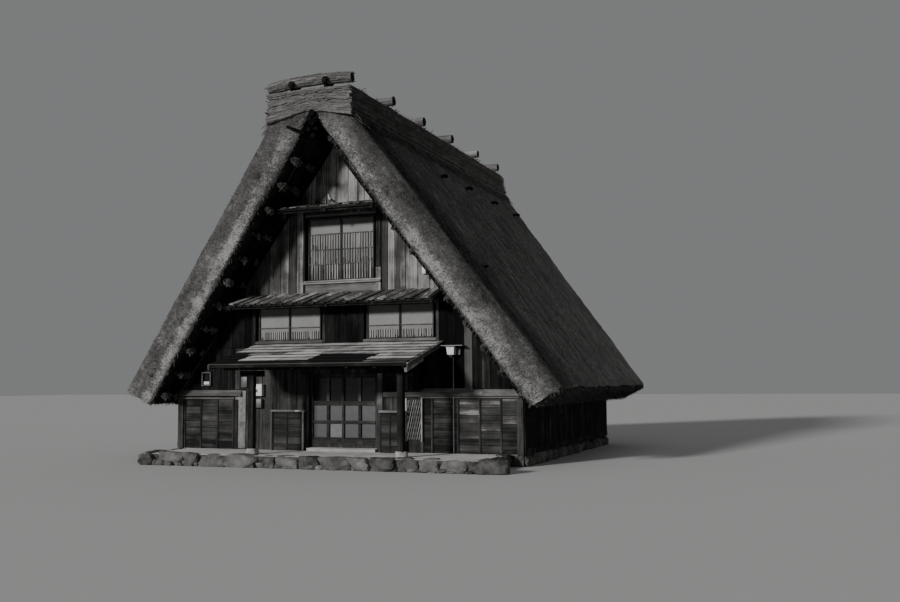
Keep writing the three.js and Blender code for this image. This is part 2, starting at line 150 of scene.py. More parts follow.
class Finish:
    """A material whose nodes are laid out by short calls."""

    def __init__(self, name, roughness, gloss=0.06):
        self.made = bpy.data.materials.new(name)
        self.made.use_nodes = True
        self.tree = self.made.node_tree
        self.shader = self.tree.nodes["Principled BSDF"].inputs
        self.shader["Roughness"].default_value = roughness
        self.shader["Specular IOR Level"].default_value = gloss
        self.where = self.add("TexCoord", {}).outputs["Object"]

    def add(self, kind, wires, **settings):
        node = self.tree.nodes.new("ShaderNode" + kind)
        for key, value in settings.items():
            setattr(node, key, value)
        for socket, value in wires.items():
            self.wire(node.inputs[socket], value)
        return node

    def wire(self, socket, value):
        if isinstance(value, bpy.types.NodeSocket):
            self.tree.links.new(value, socket)
        else:
            socket.default_value = value

    def mark(self, name):
        return self.add("Attribute", {}, attribute_name=name).outputs["Fac"]

    def sums(self, how, first, second, clamp=False):
        return self.add("Math", {0: first, 1: second}, operation=how, use_clamp=clamp).outputs[0]

    def plus(self, first, second, clamp=False):
        return self.sums("ADD", first, second, clamp)

    def less(self, first, second):
        return self.sums("SUBTRACT", first, second)

    def times(self, first, second, clamp=False):
        return self.sums("MULTIPLY", first, second, clamp)

    def weigh(self, *pairs):
        """The sum of some values, each times its weight."""
        total = None
        for value, weight in pairs:
            part = self.times(value, weight)
            total = part if total is None else self.plus(total, part)
        return total

    def shifted(self, shift):
        return self.add("VectorMath", {0: self.where, 1: shift}, operation="ADD").outputs[0]

    def turned(self, turn):
        return self.add("Mapping", {"Vector": self.where, "Rotation": (0, turn, 0)}).outputs[0]

    def place(self, axis):
        return self.add("SeparateXYZ", {"Vector": self.where}).outputs[axis]

    def grain(self, where, scale, detail, rough=0.55, bend=0.0):
        """Noise, stretched where the scale is one for each axis."""
        if isinstance(scale, tuple):
            where = self.add("Mapping", {"Vector": where, "Scale": scale}).outputs[0]
            scale = 1.0
        wires = {
            "Vector": where, "Scale": scale, "Detail": detail,
            "Roughness": rough, "Distortion": bend,
        }
        return self.add("TexNoise", wires).outputs["Fac"]

    def cells(self, scale):
        cells = self.add("TexVoronoi", {"Vector": self.where, "Scale": scale}).outputs
        share = self.add("SeparateColor", {"Color": cells["Color"]}).outputs["Red"]
        return cells["Distance"], share

    def ramp(self, value, *stops):
        """Greys by place; a third number in a stop is the grey's warmth."""
        node = self.add("ValToRGB", {"Fac": value})
        band = node.color_ramp
        while len(band.elements) < len(stops):
            band.elements.new(0.5)
        for element, (place, *shade) in zip(band.elements, stops):
            element.position = place
            element.color = (*grey(*shade), 1)
        return node.outputs["Color"]

    def mix(self, share, first, second):
        return self.add("Mix", {0: share, 6: first, 7: second}, data_type="RGBA").outputs[2]

    def done(self, colour, height, strength, distance):
        """Wires up the colour and the relief."""
        wires = {"Height": height, "Strength": strength, "Distance": distance}
        self.wire(self.shader["Base Color"], colour)
        self.wire(self.shader["Normal"], self.add("Bump", wires).outputs["Normal"])
        return self.made


def thatch_finish(name, turn):
    """Bright cut straw ends at the verges, dark weathered streaks down the slope; painted shade
    darkens the slope colour where the weather layer rises above 1.
    """
    f = Finish(name, 0.95)
    along = f.turned(turn)
    distance, share = f.cells(46.0)
    tufts = f.grain(f.where, (13.0, 14.0, 20.0), 6.0, 0.8)
    mottle = f.grain(f.where, 3.2, 4.0, 0.6)
    patches = f.grain(f.where, 0.8, 3.0)
    weather_and_shade = f.mark("weather_and_shade")
    cut = f.weigh((share, 0.16), (tufts, 0.64), (mottle, 0.40), (patches, 0.4))
    fresh = f.sums("MAXIMUM", f.times(weather_and_shade, -0.10), 0.0)
    cut = f.plus(cut, f.less(fresh, 0.02))
    cut = f.ramp(cut, (0.58, 0.022), (0.80, 0.11), (0.99, 0.34))
    streaks = f.grain(along, (8.0, 7.0, 9.0), 5.0, 0.75)
    fine = f.grain(along, (26.0, 26.0, 34.0), 4.0, 0.75)
    clumps = f.grain(along, (1.2, 3.4, 3.4), 4.0, 0.65)
    slope = f.weigh((streaks, 0.36), (fine, 0.42), (clumps, 0.30), (patches, 0.12))
    slope = f.less(slope, f.times(f.less(f.place("Z"), 5.5), 0.011))
    slope = f.plus(slope, f.times(f.plus(f.place("Y"), 4.0), 0.006))
    # Painted shade: where the weather layer rises above 1, on the right verge's outer band and
    # beside the front verges, the slope colour is darkened further.
    painted_shade = f.sums("MAXIMUM", f.less(weather_and_shade, 1.0), 0.0)
    slope = f.less(slope, f.times(painted_shade, 0.13))
    slope = f.ramp(slope, (0.42, 0.008), (0.62, 0.100), (0.80, 0.34))
    edge = f.less(f.weigh((tufts, 0.6), (mottle, 0.9)), 0.75)
    edge = f.plus(weather_and_shade, edge, clamp=True)
    lumps = f.weigh((distance, -0.4), (tufts, 0.7), (fine, 0.6))
    return f.done(f.mix(edge, cut, slope), lumps, 0.7, 0.04)


def straw_finish(name, dark, light, layers, far=0.0):
    """Straw laid level, in thin layers one over the other; far lightens it towards the back."""
    f = Finish(name, 0.92)
    where = f.shifted(f.mark("tone"))
    stems = f.grain(where, (5.0, 5.0, layers), 6.0, 0.7, 0.4)
    ends, patches = f.grain(where, 46.0, 2.0, 0.6), f.grain(where, 2.2, 3.0)
    value = f.weigh((stems, 0.7), (ends, 0.3), (f.less(patches, 0.5), 0.5))
    if far:
        value = f.plus(value, f.times(f.plus(f.place("Y"), 4.8), far))
    colour = f.ramp(value, (0.3, dark), (0.56, (dark + light) / 2), (0.75, light))
    return f.done(colour, value, 0.9, 0.03)


def wood_finish(name, axis, dark, light, tone=None):
    """Weathered wood with its grain along one axis; each board has its own tone."""
    f = Finish(name, 0.82)
    tone = f.mark("tone") if tone is None else tone
    where = f.shifted(f.times(tone, 37.0))
    fibres = tuple(1.3 if way == axis else 26 for way in "xyz")
    fine = f.grain(where, fibres, 5.0, 0.65, 0.6)
    broad = f.grain(where, tuple(scale * 0.25 for scale in fibres), 3.0, 0.5, 0.3)
    stains = f.grain(f.where, 1.9, 4.0, 0.6)
    value = f.less(f.weigh((fine, 0.75), (broad, 0.95), (stains, 0.8)), 0.65)
    value = f.plus(value, f.times(f.less(tone, 0.5), 0.55))
    colour = f.ramp(value, (0.22, dark), (0.62, (dark * light) ** 0.5), (0.98, light))
    return f.done(colour, fine, 0.5, 0.012)


def screen_finish(name):
    """Paper screens behind the bars, each sheet with its own tone."""
    f = Finish(name, 0.7)
    tone = f.mark("tone")
    fibres = f.grain(f.shifted(tone), (30, 30, 5), 5.0, 0.6)
    clouds = f.grain(f.where, 2.6, 3.0)
    value = f.weigh((tone, 0.8), (fibres, 0.12), (clouds, 0.16))
    colour = f.ramp(value, (0.0, 0.01), (0.5, 0.10), (0.95, 0.33, 0.01))
    return f.done(colour, fibres, 0.15, 0.004)


def glass_finish(name, shade, roughness):
    """Old panes: a little dust, and a faint wave in the surface."""
    f = Finish(name, roughness, 0.5)
    dust = f.grain(f.where, 7.0, 5.0, 0.6)
    colour = f.ramp(dust, (0.3, shade * 0.7, 0), (0.75, shade * 1.35, 0))
    return f.done(colour, f.grain(f.where, 3.0, 2.0), 0.25, 0.01)


def stone_finish(name, dark, light, scale=1.0):
    f = Finish(name, 0.92)
    tone = f.mark("tone")
    where = f.shifted(tone)
    body = f.grain(where, 3.5 * scale, 8.0, 0.68, 0.4)
    specks = f.grain(where, 40.0 * scale, 3.0, 0.6)
    value = f.weigh((body, 0.75), (specks, 0.25), (f.less(tone, 0.5), 0.2))
    colour = f.ramp(value, (0.3, dark), (0.55, (dark + light) / 2), (0.75, light))
    return f.done(colour, value, 0.8, 0.03)


def earth_finish(name):
    """Trodden earth: pale and dusty on top, damp and dark down its sides."""
    f = Finish(name, 0.95)
    body = f.grain(f.where, 2.4, 8.0, 0.7, 0.3)
    top = f.ramp(body, (0.3, 0.42), (0.7, 0.80))
    flank = f.ramp(f.grain(f.where, 9.0, 5.0, 0.7), (0.35, 0.02), (0.7, 0.12))
    share = f.times(f.less(f.place("Z"), 0.257), 130.0, clamp=True)
    return f.done(f.mix(share, flank, top), body, 0.5, 0.02)


def painted_finish(name, shade, roughness=0.45):
    """Old paint on sheet metal, dulled by rain streaks."""
    f = Finish(name, roughness, 0.5)
    streaks = f.grain(f.where, (18, 18, 2.5), 5.0, 0.6)
    colour = f.ramp(streaks, (0.25, shade * 0.55), (0.6, shade, 0.005))
    return f.done(colour, streaks, 0.12, 0.004)


FINISHES = (
    (thatch_finish, (
        ("thatch_right_slope", -math.atan2(SIN, COS)), ("thatch_left_slope", math.atan2(SIN, COS)),
    )),
    (straw_finish, (
        ("smoked_reed", 0.006, 0.045, 10.0), ("ridge_straw", 0.055, 0.33, 34.0),
        ("loose_straw", 0.04, 0.20, 12.0), ("flank_straw", 0.02, 0.17, 14.0, 0.020),
        ("straw_rope", 0.02, 0.17, 60.0), ("dark_rope", 0.008, 0.04, 60.0),
    )),
    (wood_finish, (
        ("weathered_board_upright", "z", 0.016, 0.32),
        ("weathered_board_level", "x", 0.012, 0.36),
        ("side_board", "z", 0.005, 0.05), ("roof_board", "y", 0.03, 0.46),
        ("roof_course", "x", 0.010, 0.68), ("smoked_timber_upright", "z", 0.003, 0.09),
        ("smoked_timber_level", "x", 0.010, 0.085), ("smoked_timber_deep", "y", 0.010, 0.075),
        ("pole_wood", "y", 0.004, 0.045), ("post_wood", "z", 0.005, 0.045),
        ("bleached_log", "x", 0.05, 0.36), ("log_end", "x", 0.006, 0.035),
        ("charred_end", "x", 0.002, 0.012), ("pale_timber_upright", "z", 0.08, 0.50),
        ("pale_timber_level", "x", 0.08, 0.50), ("sash_wood", "z", 0.015, 0.10, 0.5),
        ("lattice_bar", "z", 0.05, 0.38), ("sash_rail_wood", "x", 0.014, 0.11),
        ("wall_behind_boards", "z", 0.010, 0.06, 0.4), ("floor_plank", "x", 0.03, 0.12, 0.5),
        ("threshold_wood", "x", 0.16, 0.55, 0.6), ("door_wood", "z", 0.016, 0.10, 0.5),
    )),
    (screen_finish, (("paper_screen",),)),
    (glass_finish, (
        ("frosted_pane", 0.030, 0.4), ("bright_pane", 0.11, 0.4), ("dark_pane", 0.002, 0.13),
    )),
    (stone_finish, (
        ("edging_stone", 0.02, 0.23), ("post_stone", 0.18, 0.5, 1.2),
        ("clay_plaster", 0.10, 0.42, 1.4),
    )),
    (earth_finish, (("trodden_earth",),)),
    (painted_finish, (
        ("white_enamel", 0.72), ("grey_enamel", 0.22), ("dull_enamel", 0.09),
        ("dark_iron", 0.03, 0.5), ("lamp_glass", 0.9, 0.3),
    )),
)
looks = {row[0]: kind(*row) for kind, rows in FINISHES for row in rows}


# Making pieces
def show(name, bm, finishes, body="house", smooth=None):
    """Turns a finished bmesh into a piece that rides on its body."""
    mesh = bpy.data.meshes.new(name)
    bm.to_mesh(mesh)
    bm.free()
    if smooth is not None:
        mesh.shade_smooth()
        mesh.set_sharp_from_angle(angle=math.radians(smooth))
    for finish in finishes.split():
        mesh.materials.append(looks[finish])
    piece = link(bpy.data.objects.new(name, mesh))
    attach(piece, body)
    return piece


def on_wall(wall, s, proud, z):
    """A point on an outside wall: along it, proud of its face, and up."""
    return {
        "front": (s, FRONT - proud, z), "back": (s, BACK + proud, z),
        "right": (SIDE + proud, s, z), "left": (-SIDE - proud, s, z),
    }[wall]


def box_place(low, high):
    """Carries a unit cube to the box between two corners."""
    return Matrix.Translation((low + high) / 2) @ Matrix.Diagonal((*(high - low), 1))


def line_place(start, end):
    """Carries the Z axis to the line from start to end, about its middle."""
    turn = Vector((0, 0, 1)).rotation_difference(end - start).to_matrix().to_4x4()
    return Matrix.Translation((start + end) / 2) @ turn


def spot(*place, turn=0.0, axis="Z"):
    return Matrix.Translation(place) @ Matrix.Rotation(turn, 4, axis)


def cube(bm, place=STAY):
    return bmesh.ops.create_cube(bm, size=1, matrix=place)["verts"]


def cone(bm, foot, tip, sides, tall, place=STAY):
    return bmesh.ops.create_cone(
        bm, cap_ends=True, segments=sides, radius1=foot, radius2=foot if tip is None else tip,
        depth=tall, matrix=place,
    )["verts"]


def upright_edges(bm):
    return [e for e in bm.edges if abs(e.verts[0].co.z - e.verts[1].co.z) > 0.01]


def cut_upright(bm, cuts):
    bmesh.ops.subdivide_edges(bm, edges=upright_edges(bm), cuts=cuts)


def soften_edges(bm, edges, offset):
    bmesh.ops.bevel(
        bm, geom=edges, offset=offset, offset_type="OFFSET", segments=2,
        profile=0.5, affect="EDGES", material=-1,
    )


def turn_outwards(bm):
    bm.normal_update()
    bmesh.ops.recalc_face_normals(bm, faces=bm.faces)


def ready(bm):
    mesh = bpy.data.meshes.new("ready")
    turn_outwards(bm)
    bm.to_mesh(mesh)
    bm.free()
    return mesh


class Batch:
    """Small shapes gathered into one piece, each with its own tone from 0 to 1."""

    def __init__(self, seed):
        self.luck = random.Random(seed)
        self.whole = bmesh.new()
        self.whole.verts.layers.float.new("tone")
        self.start_small()

    def start_small(self):
        self.small = bmesh.new()
        self.layer = self.small.verts.layers.float.new("tone")

    def pour(self):
        """Moves the newest shapes to the whole, which would slow them down."""
        mesh = bpy.data.meshes.new("poured")
        self.small.to_mesh(mesh)
        self.whole.from_mesh(mesh)
        bpy.data.meshes.remove(mesh)
        self.small.free()
        self.start_small()

    def room(self):
        if len(self.small.verts) > 1500:
            self.pour()
        return self.small

    def tone(self, tone):
        """A tone as it is given, drawn from a range, or from the middle of the scale."""
        if tone is None:
            return self.luck.uniform(0.2, 0.8)
        return self.luck.uniform(*tone) if isinstance(tone, tuple) else tone

    def toned(self, verts, tone):
        tone = self.tone(tone)
        for vert in verts:
            vert[self.layer] = tone
        return verts

    def block(self, one, other, tone=None):
        """A stick or board between two opposite corners."""
        low, high = (Vector([pick(pair) for pair in zip(one, other)]) for pick in (min, max))
        return self.toned(cube(self.room(), box_place(low, high)), tone)

    def on(self, wall, s, z, proud, tone=None):
        """A block on a wall: its reach along the wall, its heights and how far it stands out."""
        ends = (on_wall(wall, s[k], proud[k], z[k]) for k in (0, 1))
        return self.block(*ends, tone)

    def fix(self, wall, *rows):
        """Blocks on a wall, as rows of left, right, low, high, inner, outer and tone."""
        for left, right, low, high, inner, outer, *tone in rows:
            self.on(wall, (left, right), (low, high), (inner, outer), *tone)

    def bar(self, start, end, across, wide, thick, tone=None):
        """A squared bar from start to end; across is the direction of its width."""
        start, end, across = Vector(start), Vector(end), Vector(across)
        run = (end - start).normalized()
        across = (across - run * across.dot(run)).normalized()
        turn = Matrix((across, run.cross(across), run)).transposed().to_4x4()
        size = Matrix.Diagonal((wide, thick, (end - start).length, 1))
        place = Matrix.Translation((start + end) / 2) @ turn @ size
        return self.toned(cube(self.room(), place), tone)

    def pole(self, start, end, radius, tip=None, sides=9, tone=None):
        """A straight round pole."""
        start, end = Vector(start), Vector(end)
        long = (end - start).length
        self.toned(cone(self.room(), radius, tip, sides, long, line_place(start, end)), tone)

    def crooked_pole(self, start, end, radius, cuts, wander, tip=None, sides=9, tone=None):
        """A round pole that wanders from its line, between cuts along it."""
        start, end = Vector(start), Vector(end)
        bm = bmesh.new()
        cone(bm, radius, tip, sides, (end - start).length)
        cut_upright(bm, cuts)
        bm.transform(line_place(start, end))
        away = astray(self.luck, 50)
        for vert in bm.verts:
            share = (vert.co - start).dot(end - start) / (end - start).length_squared
            sway = noise.noise_vector(away + (start + (end - start) * share) * 0.8)
            vert.co += sway * wander + noise.noise_vector(vert.co * 9) * wander * 0.35
        self.stamp(ready(bm), STAY, tone, spent=True)

    def stamp(self, mesh, place, tone=None, spent=False):
        """Pours a ready shape in at its place; a spent shape isn't used again."""
        self.pour()
        copy = mesh.copy()
        copy.transform(place)
        before = len(self.whole.verts)
        self.whole.from_mesh(copy)
        bpy.data.meshes.remove(copy)
        if spent:
            bpy.data.meshes.remove(mesh)
        self.whole.verts.ensure_lookup_table()
        layer = self.whole.verts.layers.float["tone"]
        tone = self.tone(tone)
        for vert in self.whole.verts[before:]:
            vert[layer] = tone

    def done(self, name, finishes, slot, body="house", smooth=None, sort=None):
        self.pour()
        turn_outwards(self.whole)
        self.whole.normal_update()
        if sort:
            for face in self.whole.faces:
                face.material_index = sort(face)
        return show(name, self.whole, finishes, body, smooth)


def hewn_post(wide, deep, tall, seed):
    """An adzed post standing on the origin, with softened corners and an uneven face."""
    bm = bmesh.new()
    cube(bm, Matrix.Translation((0, 0, tall / 2)) @ Matrix.Diagonal((wide, deep, tall, 1)))
    soften_edges(bm, upright_edges(bm), 0.014)
    cut_upright(bm, 7)
    for vert in bm.verts:
        away = noise.noise_vector(vert.co * 5 + Vector((seed * 7.3, 0, 0)))
        vert.co += Vector((away.x, away.y, 0)) * 0.004
    return ready(bm)


def rope_ring(major, minor, turns, squash=1.0):
    """A ring of rope round the Z axis, as several turns side by side."""
    bm = bmesh.new()
    for turn in range(turns):
        one = bmesh.new()
        place = spot(major, 0, (turn - (turns - 1) / 2) * minor * 1.9, turn=math.pi / 2, axis="X")
        bmesh.ops.create_circle(one, cap_ends=False, segments=5, radius=minor, matrix=place)
        bmesh.ops.spin(
            one, geom=one.verts[:] + one.edges[:], cent=(0, 0, 0), axis=(0, 0, 1),
            angle=2 * math.pi, steps=14, use_merge=True,
        )
        mesh = ready(one)
        bm.from_mesh(mesh)
        bpy.data.meshes.remove(mesh)
    for vert in bm.verts:
        vert.co.y *= squash
    return ready(bm)


def rock(wide, deep, tall, seed):
    """An angular field stone that stands on z = 0, about the origin."""
    luck = random.Random(str(seed))
    bm = bmesh.new()
    bmesh.ops.create_icosphere(bm, subdivisions=3, radius=1)
    away = astray(luck, 40)
    flats = [(astray(luck, 1).normalized(), luck.uniform(0.66, 0.95)) for _ in range(6)]
    for vert in bm.verts:
        point = vert.co.copy()
        point *= 0.86 / max(abs(point.x), abs(point.y), abs(point.z)) ** 0.85
        for side, reach in flats:
            over = point.dot(side) - reach
            if over > 0:
                point -= side * over * 0.85
        point *= 1 + 0.12 * noise.noise(point * 1.4 + away) + 0.05 * noise.noise(point * 4 + away)
        point += noise.noise_vector(point * 9 + away) * 0.018
        x, y, z = point.x * wide / 1.75, point.y * deep / 1.75, (point.z + 0.75) * tall / 1.55
        vert.co = Vector((x, y, z))
        vert.co.z = max(0.0, min(tall * 1.05, vert.co.z))
    return ready(bm)


def divided_block(*cuts):
    """A unit cube about the origin, cut into a grid along X, Y and Z."""
    bm = bmesh.new()
    cube(bm)
    for axis, count in enumerate(cuts):
        edges = [e for e in bm.edges if abs((e.verts[0].co - e.verts[1].co)[axis]) > 1e-6]
        bmesh.ops.subdivide_edges(bm, edges=edges, cuts=count, use_grid_fill=True)
    return bm


# Thatch
def softened(p, q, r):
    """Rounds the corner where both distances, p and q, run out."""
    if p < r and q < r:
        away = math.hypot(r - p, r - q)
        if away > r:
            return r - (r - p) * r / away, r - (r - q) * r / away
    return p, q


def thatch_section(from_eave, depth):
    """A point of the right slope's section, from the eave and from the outer face."""
    share = min(1.0, from_eave / SLOPE_LONG)
    if share < CAP_SHARE:
        outer = EAVE.lerp(CAP_EDGE, share / CAP_SHARE)
    else:
        outer = CAP_EDGE.lerp(PEAK, (share - CAP_SHARE) / 0.1)
    return outer.lerp(TIP.lerp(INNER_PEAK, share), depth / THICK)


def verge_point(point, inset, sign, end):
    """Carries a point of the section out to the verge, but for its inset."""
    return Vector((point.x * sign, end * (BACK + verge_reach(point.z) - inset), point.z))


def thatch_point(e, f, g, sign, end):
    """A point of the thatch, from its distances to the eave, the outer face and the verge.

    The corners are rounded, most of all the outer edge of the right front verge.
    """
    e, f = softened(e, f, 0.13)
    e, inner = softened(e, THICK - f, 0.1)
    f = THICK - inner
    outer = 0.36 if sign > 0 and end < 0 else 0.12
    g, f = softened(g / 1.2, f, outer * (1 - 0.8 * ease((e - 6.9) / 1.0)))
    g, inner = softened(g * 1.2, THICK - f, 0.07 + 0.25 * ease((e - 5.4) / 1.6))
    f = THICK - inner
    return verge_point(thatch_section(e, f), g, sign, end), e, f, g


def thatch_slope(side, sign):
    """One slope; its weather layer is 1 on the worn top, below 0 on bright cut ends, and above 1
    where shade is painted: on the right verge's outer band and on a strip of the slope beside each
    front verge.
    """
    bm = divided_block(200, 118, 8)
    weather_and_shade = bm.verts.layers.float.new("weather_and_shade")
    luck = random.Random(11 + sign)
    downhill, outward = slope_ways(sign)
    limit, fading, dulled_and_shaded, fresh = (0.64, 0.3, 1.35, 0.6) if sign > 0 else (0.66, 0.5, 1.0, 1.2)
    for vert in bm.verts:
        e, f = (vert.co.x + 0.5) * SLOPE_LONG, (0.5 - vert.co.z) * THICK
        end = -1 if vert.co.y < 0 else 1
        share = abs(vert.co.y) * 2
        share += 0.1 * math.sin(math.pi * share)
        g = (1 - share) * (BACK + verge_reach(thatch_section(e, f).z))
        point, e, f, g = thatch_point(e, f, g, sign, end)
        skin, verge, foot = ease(1 - f / 0.1), ease(1 - g / 0.12), ease(1 - e / 0.08)
        belly = ease(1 - (THICK - f) / 0.1)
        lump = noise.noise(point * 0.7) * 0.03 + noise.noise(point * 2.6) * 0.013
        lump += noise.noise(point * 9) * 0.008 + luck.uniform(-0.004, 0.004)
        shift = outward * (skin * lump - belly * 0.6 * lump)
        ragged = noise.noise(point * 2.1) * 0.022 + noise.noise(point * 8) * 0.018
        shift.y += end * verge * (ragged + luck.uniform(-0.014, 0.014))
        drop = noise.noise(point * 1.1) * 0.045 + noise.noise(point * 5) * 0.022
        shift += downhill * foot * (drop + luck.uniform(-0.014, 0.014))
        vert.co = point + shift
        # Painted shadow: a strip of the slope beside the front verge, stronger on the right, lifts
        # the weather layer above 1.
        shadow = (0.35 + 0.55 * max(sign, 0)) * ease(g / 0.3) * ease(1.25 - g / 1.5)
        top = skin * (ease((g + 0.1) / 0.35) + (shadow if end < 0 else 0))
        # The thatch's outer layer is worn; on the right the factor 1.35 lifts the verge's outer
        # band above 1, painted shade where its rounded edge turns from the light.
        worn_and_shaded = dulled_and_shaded * ease((limit - f) / 0.5) * (1 - fading * ease((e - 5.2) / 1.4))
        worn_and_shaded += 0.2 * ease(1 - (THICK - f) / 0.10)
        worn_and_shaded = max(top, worn_and_shaded * ease(1.2 - g / 0.5), belly, foot * ease(g / 0.15))
        vert[weather_and_shade] = worn_and_shaded - fresh * ease((f - limit + 0.33) / 0.25) * ease(1.5 - 3 * worn_and_shaded)
    turn_outwards(bm)
    bm.normal_update()
    # Faces under the thatch and down at the eave take the dark reed: smoke-darkened reed, with
    # painted shade in it as well.
    for face in bm.faces:
        below = face.normal.dot(outward) < -0.75 or face.normal.dot(downhill) > 0.75
        face.material_index = 1 if below and abs(face.normal.y) < 0.5 else 0
    finishes = f"thatch_{side}_slope smoked_reed"
    piece = show(f"thatch_slope_{side}", bm, finishes, smooth=70)
    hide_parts(f"thatch_{side}")


def loose_ends(side, sign):
    """Straw ends that stand out of the verges and hang from the eave."""
    batch = Batch(31 + sign)
    luck = batch.luck
    downhill, outward = slope_ways(sign)

    def stem(root, way, long, thick):
        way = (way + astray(luck, 0.5)).normalized()
        batch.pole(root - way * 0.03, root + way * long, thick, thick * 0.4, 3, (0, 1))

    for end in (-1, 1):
        for _ in range(1700):
            e, f = luck.uniform(0.05, 7.6), luck.uniform(0.02, THICK - 0.03)
            point = thatch_point(e, f, 0, sign, end)[0]
            way = Vector((0, end, 0)) + outward * max(0, 0.5 - f) * 2
            stem(point, way, luck.uniform(0.01, 0.05), luck.uniform(0.004, 0.009))
        for _ in range(600):
            point = thatch_section(luck.uniform(0.0, 7.7), THICK - luck.uniform(-0.01, 0.05))
            point = verge_point(point, luck.uniform(0, 0.25) ** 1.5, sign, end)
            way = downhill * 0.6 - outward + Vector((0, end * 0.6, 0))
            stem(point, way, 0.02 + 0.10 * luck.random() ** 5, luck.uniform(0.005, 0.009))
    for _ in range(2200):
        end = luck.choice((-1, 1))
        f, g = luck.uniform(0.02, THICK), luck.uniform(0.02, 4.9)
        point = thatch_point(0, f, g, sign, end)[0]
        stem(point, downhill, luck.uniform(0.02, 0.09), 0.008)
    batch.done(f"loose_straw_{side}", "loose_straw", "thatch")


# The ridge
def cap_height(x, h, top=CAP_HIGH):
    """Height in the straw cap at x, with h from 0 at its lower edge to 1 at its top."""
    return (8.12 - 0.217 * abs(x)) * (1 - h) + top * h


def ridge_cap():
    """The cap: straw laid level in layers, one over the other, between the slopes."""
    layers = 11
    batch = Batch(5)
    for k in range(layers):
        bm = divided_block(12, 96, 2)
        wide = 1.055 + batch.luck.uniform(-0.03, 0.03)
        front = CAP_FRONT + batch.luck.uniform(-0.025, 0.03)
        for vert in bm.verts:
            u, t, w = vert.co.x * 2, vert.co.y + 0.5, vert.co.z + 0.5
            bulge = 1 - (2 * w - 1) ** 2
            h = (k + w * 1.08) / layers
            z = cap_height(u, h, CAP_HIGH - 0.04 * abs(u))
            y = -front + (CAP_BACK - CAP_LEAN * h + front) * t
            point = Vector((u * wide, y, z))
            rough = noise.noise(point * 1.3) * 0.03 + noise.noise(point * 7) * 0.018
            flank = ease((abs(u) - 0.8) / 0.2) * (0.022 * bulge + rough)
            x = point.x + (flank if u > 0 else -flank)
            if t in (0.0, 1.0):
                y += (1 if t else -1) * (0.02 * bulge + rough)
            z += noise.noise(point * 2.2 + Vector((0, 0, 3 * k))) * 0.014
            vert.co = Vector((x, y, z))
        batch.stamp(ready(bm), STAY, (0, 1), spent=True)
    # Faces that look sideways take the darker flank straw: painted shade on the cap's flanks.
    cap = batch.done(
        "ridge_cap_straw", "ridge_straw flank_straw", "ridge_straw", smooth=50,
        sort=lambda face: abs(face.normal.x) > 0.6,
    )
    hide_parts("ridge_cap")


def cap_stems():
    """Loose stems over the cap's end and flanks, and tufts along its edges."""
    ends, flanks = Batch(7), Batch(8)
    luck = ends.luck
    for end in (-1, 1):
        for _ in range(520):
            x, h = luck.uniform(-1.03, 1.03), luck.random()
            long = luck.uniform(0.08, 0.32)
            y = -5.80 if end < 0 else CAP_BACK - CAP_LEAN * h
            points = []
            for place in (x - long * 0.5, x + long * 0.5):
                place = max(-1.1, min(1.1, place))
                z = cap_height(place, h, 8.59) + luck.uniform(-0.02, 0.02)
                points.append((place, y + end * luck.uniform(-0.01, 0.03), z))
            ends.pole(*points, luck.uniform(0.004, 0.009), sides=3, tone=(0, 1))
    ends.done("ridge_end_stems", "ridge_straw", "ridge_straw")
    luck = flanks.luck
    for sign in (-1, 1):
        for _ in range(1300):
            h, y, long = luck.random(), luck.uniform(-5.75, 5.2), luck.uniform(0.1, 0.5)
            x, z = sign * (1.06 + luck.uniform(-0.005, 0.03)), cap_height(1.0, h, 8.56)
            start = (x, y - long / 2, z + luck.uniform(-0.02, 0.02))
            stop = (x + luck.uniform(-0.02, 0.02), y + long / 2, z + luck.uniform(-0.02, 0.02))
            flanks.pole(start, stop, luck.uniform(0.004, 0.010), sides=3, tone=(0, 1))
        for _ in range(900):
            by_log = luck.uniform(-5.6, 5.1), luck.choice(LOG_PLACES[1:]) + luck.gauss(0, 0.2)
            y = luck.choice(by_log)
            root = Vector((sign * luck.uniform(0.75, 1.06), min(5.0, y), 8.55))
            spans = ((0.3, 1.4), (-0.8, 0.8), (-0.5, 0.7))
            out, side, rise = (luck.uniform(*span) for span in spans)
            way = Vector((sign * out, side, rise)).normalized()
            tip = root + way * luck.uniform(0.08, 0.2)
            flanks.pole(root, tip, luck.uniform(0.006, 0.013), 0.004, 3, (0, 1))
        for _ in range(1500):
            root = Vector((sign * 1.07, luck.uniform(-5.7, 5.6), 7.90 + luck.uniform(0.0, 0.10)))
            way = Vector((sign * COS, luck.uniform(-0.5, 0.5), -SIN)).normalized()
            tip = root + way * (0.06 + 0.34 * luck.random() ** 2) + Vector((sign * 0.03, 0, 0.02))
            flanks.pole(root, tip, luck.uniform(0.008, 0.018), 0.005, 3, (0, 1))
    # The flank stems take the darker flank straw as well: painted shade.
    flanks.done("ridge_flank_stems", "flank_straw", "ridge_straw")


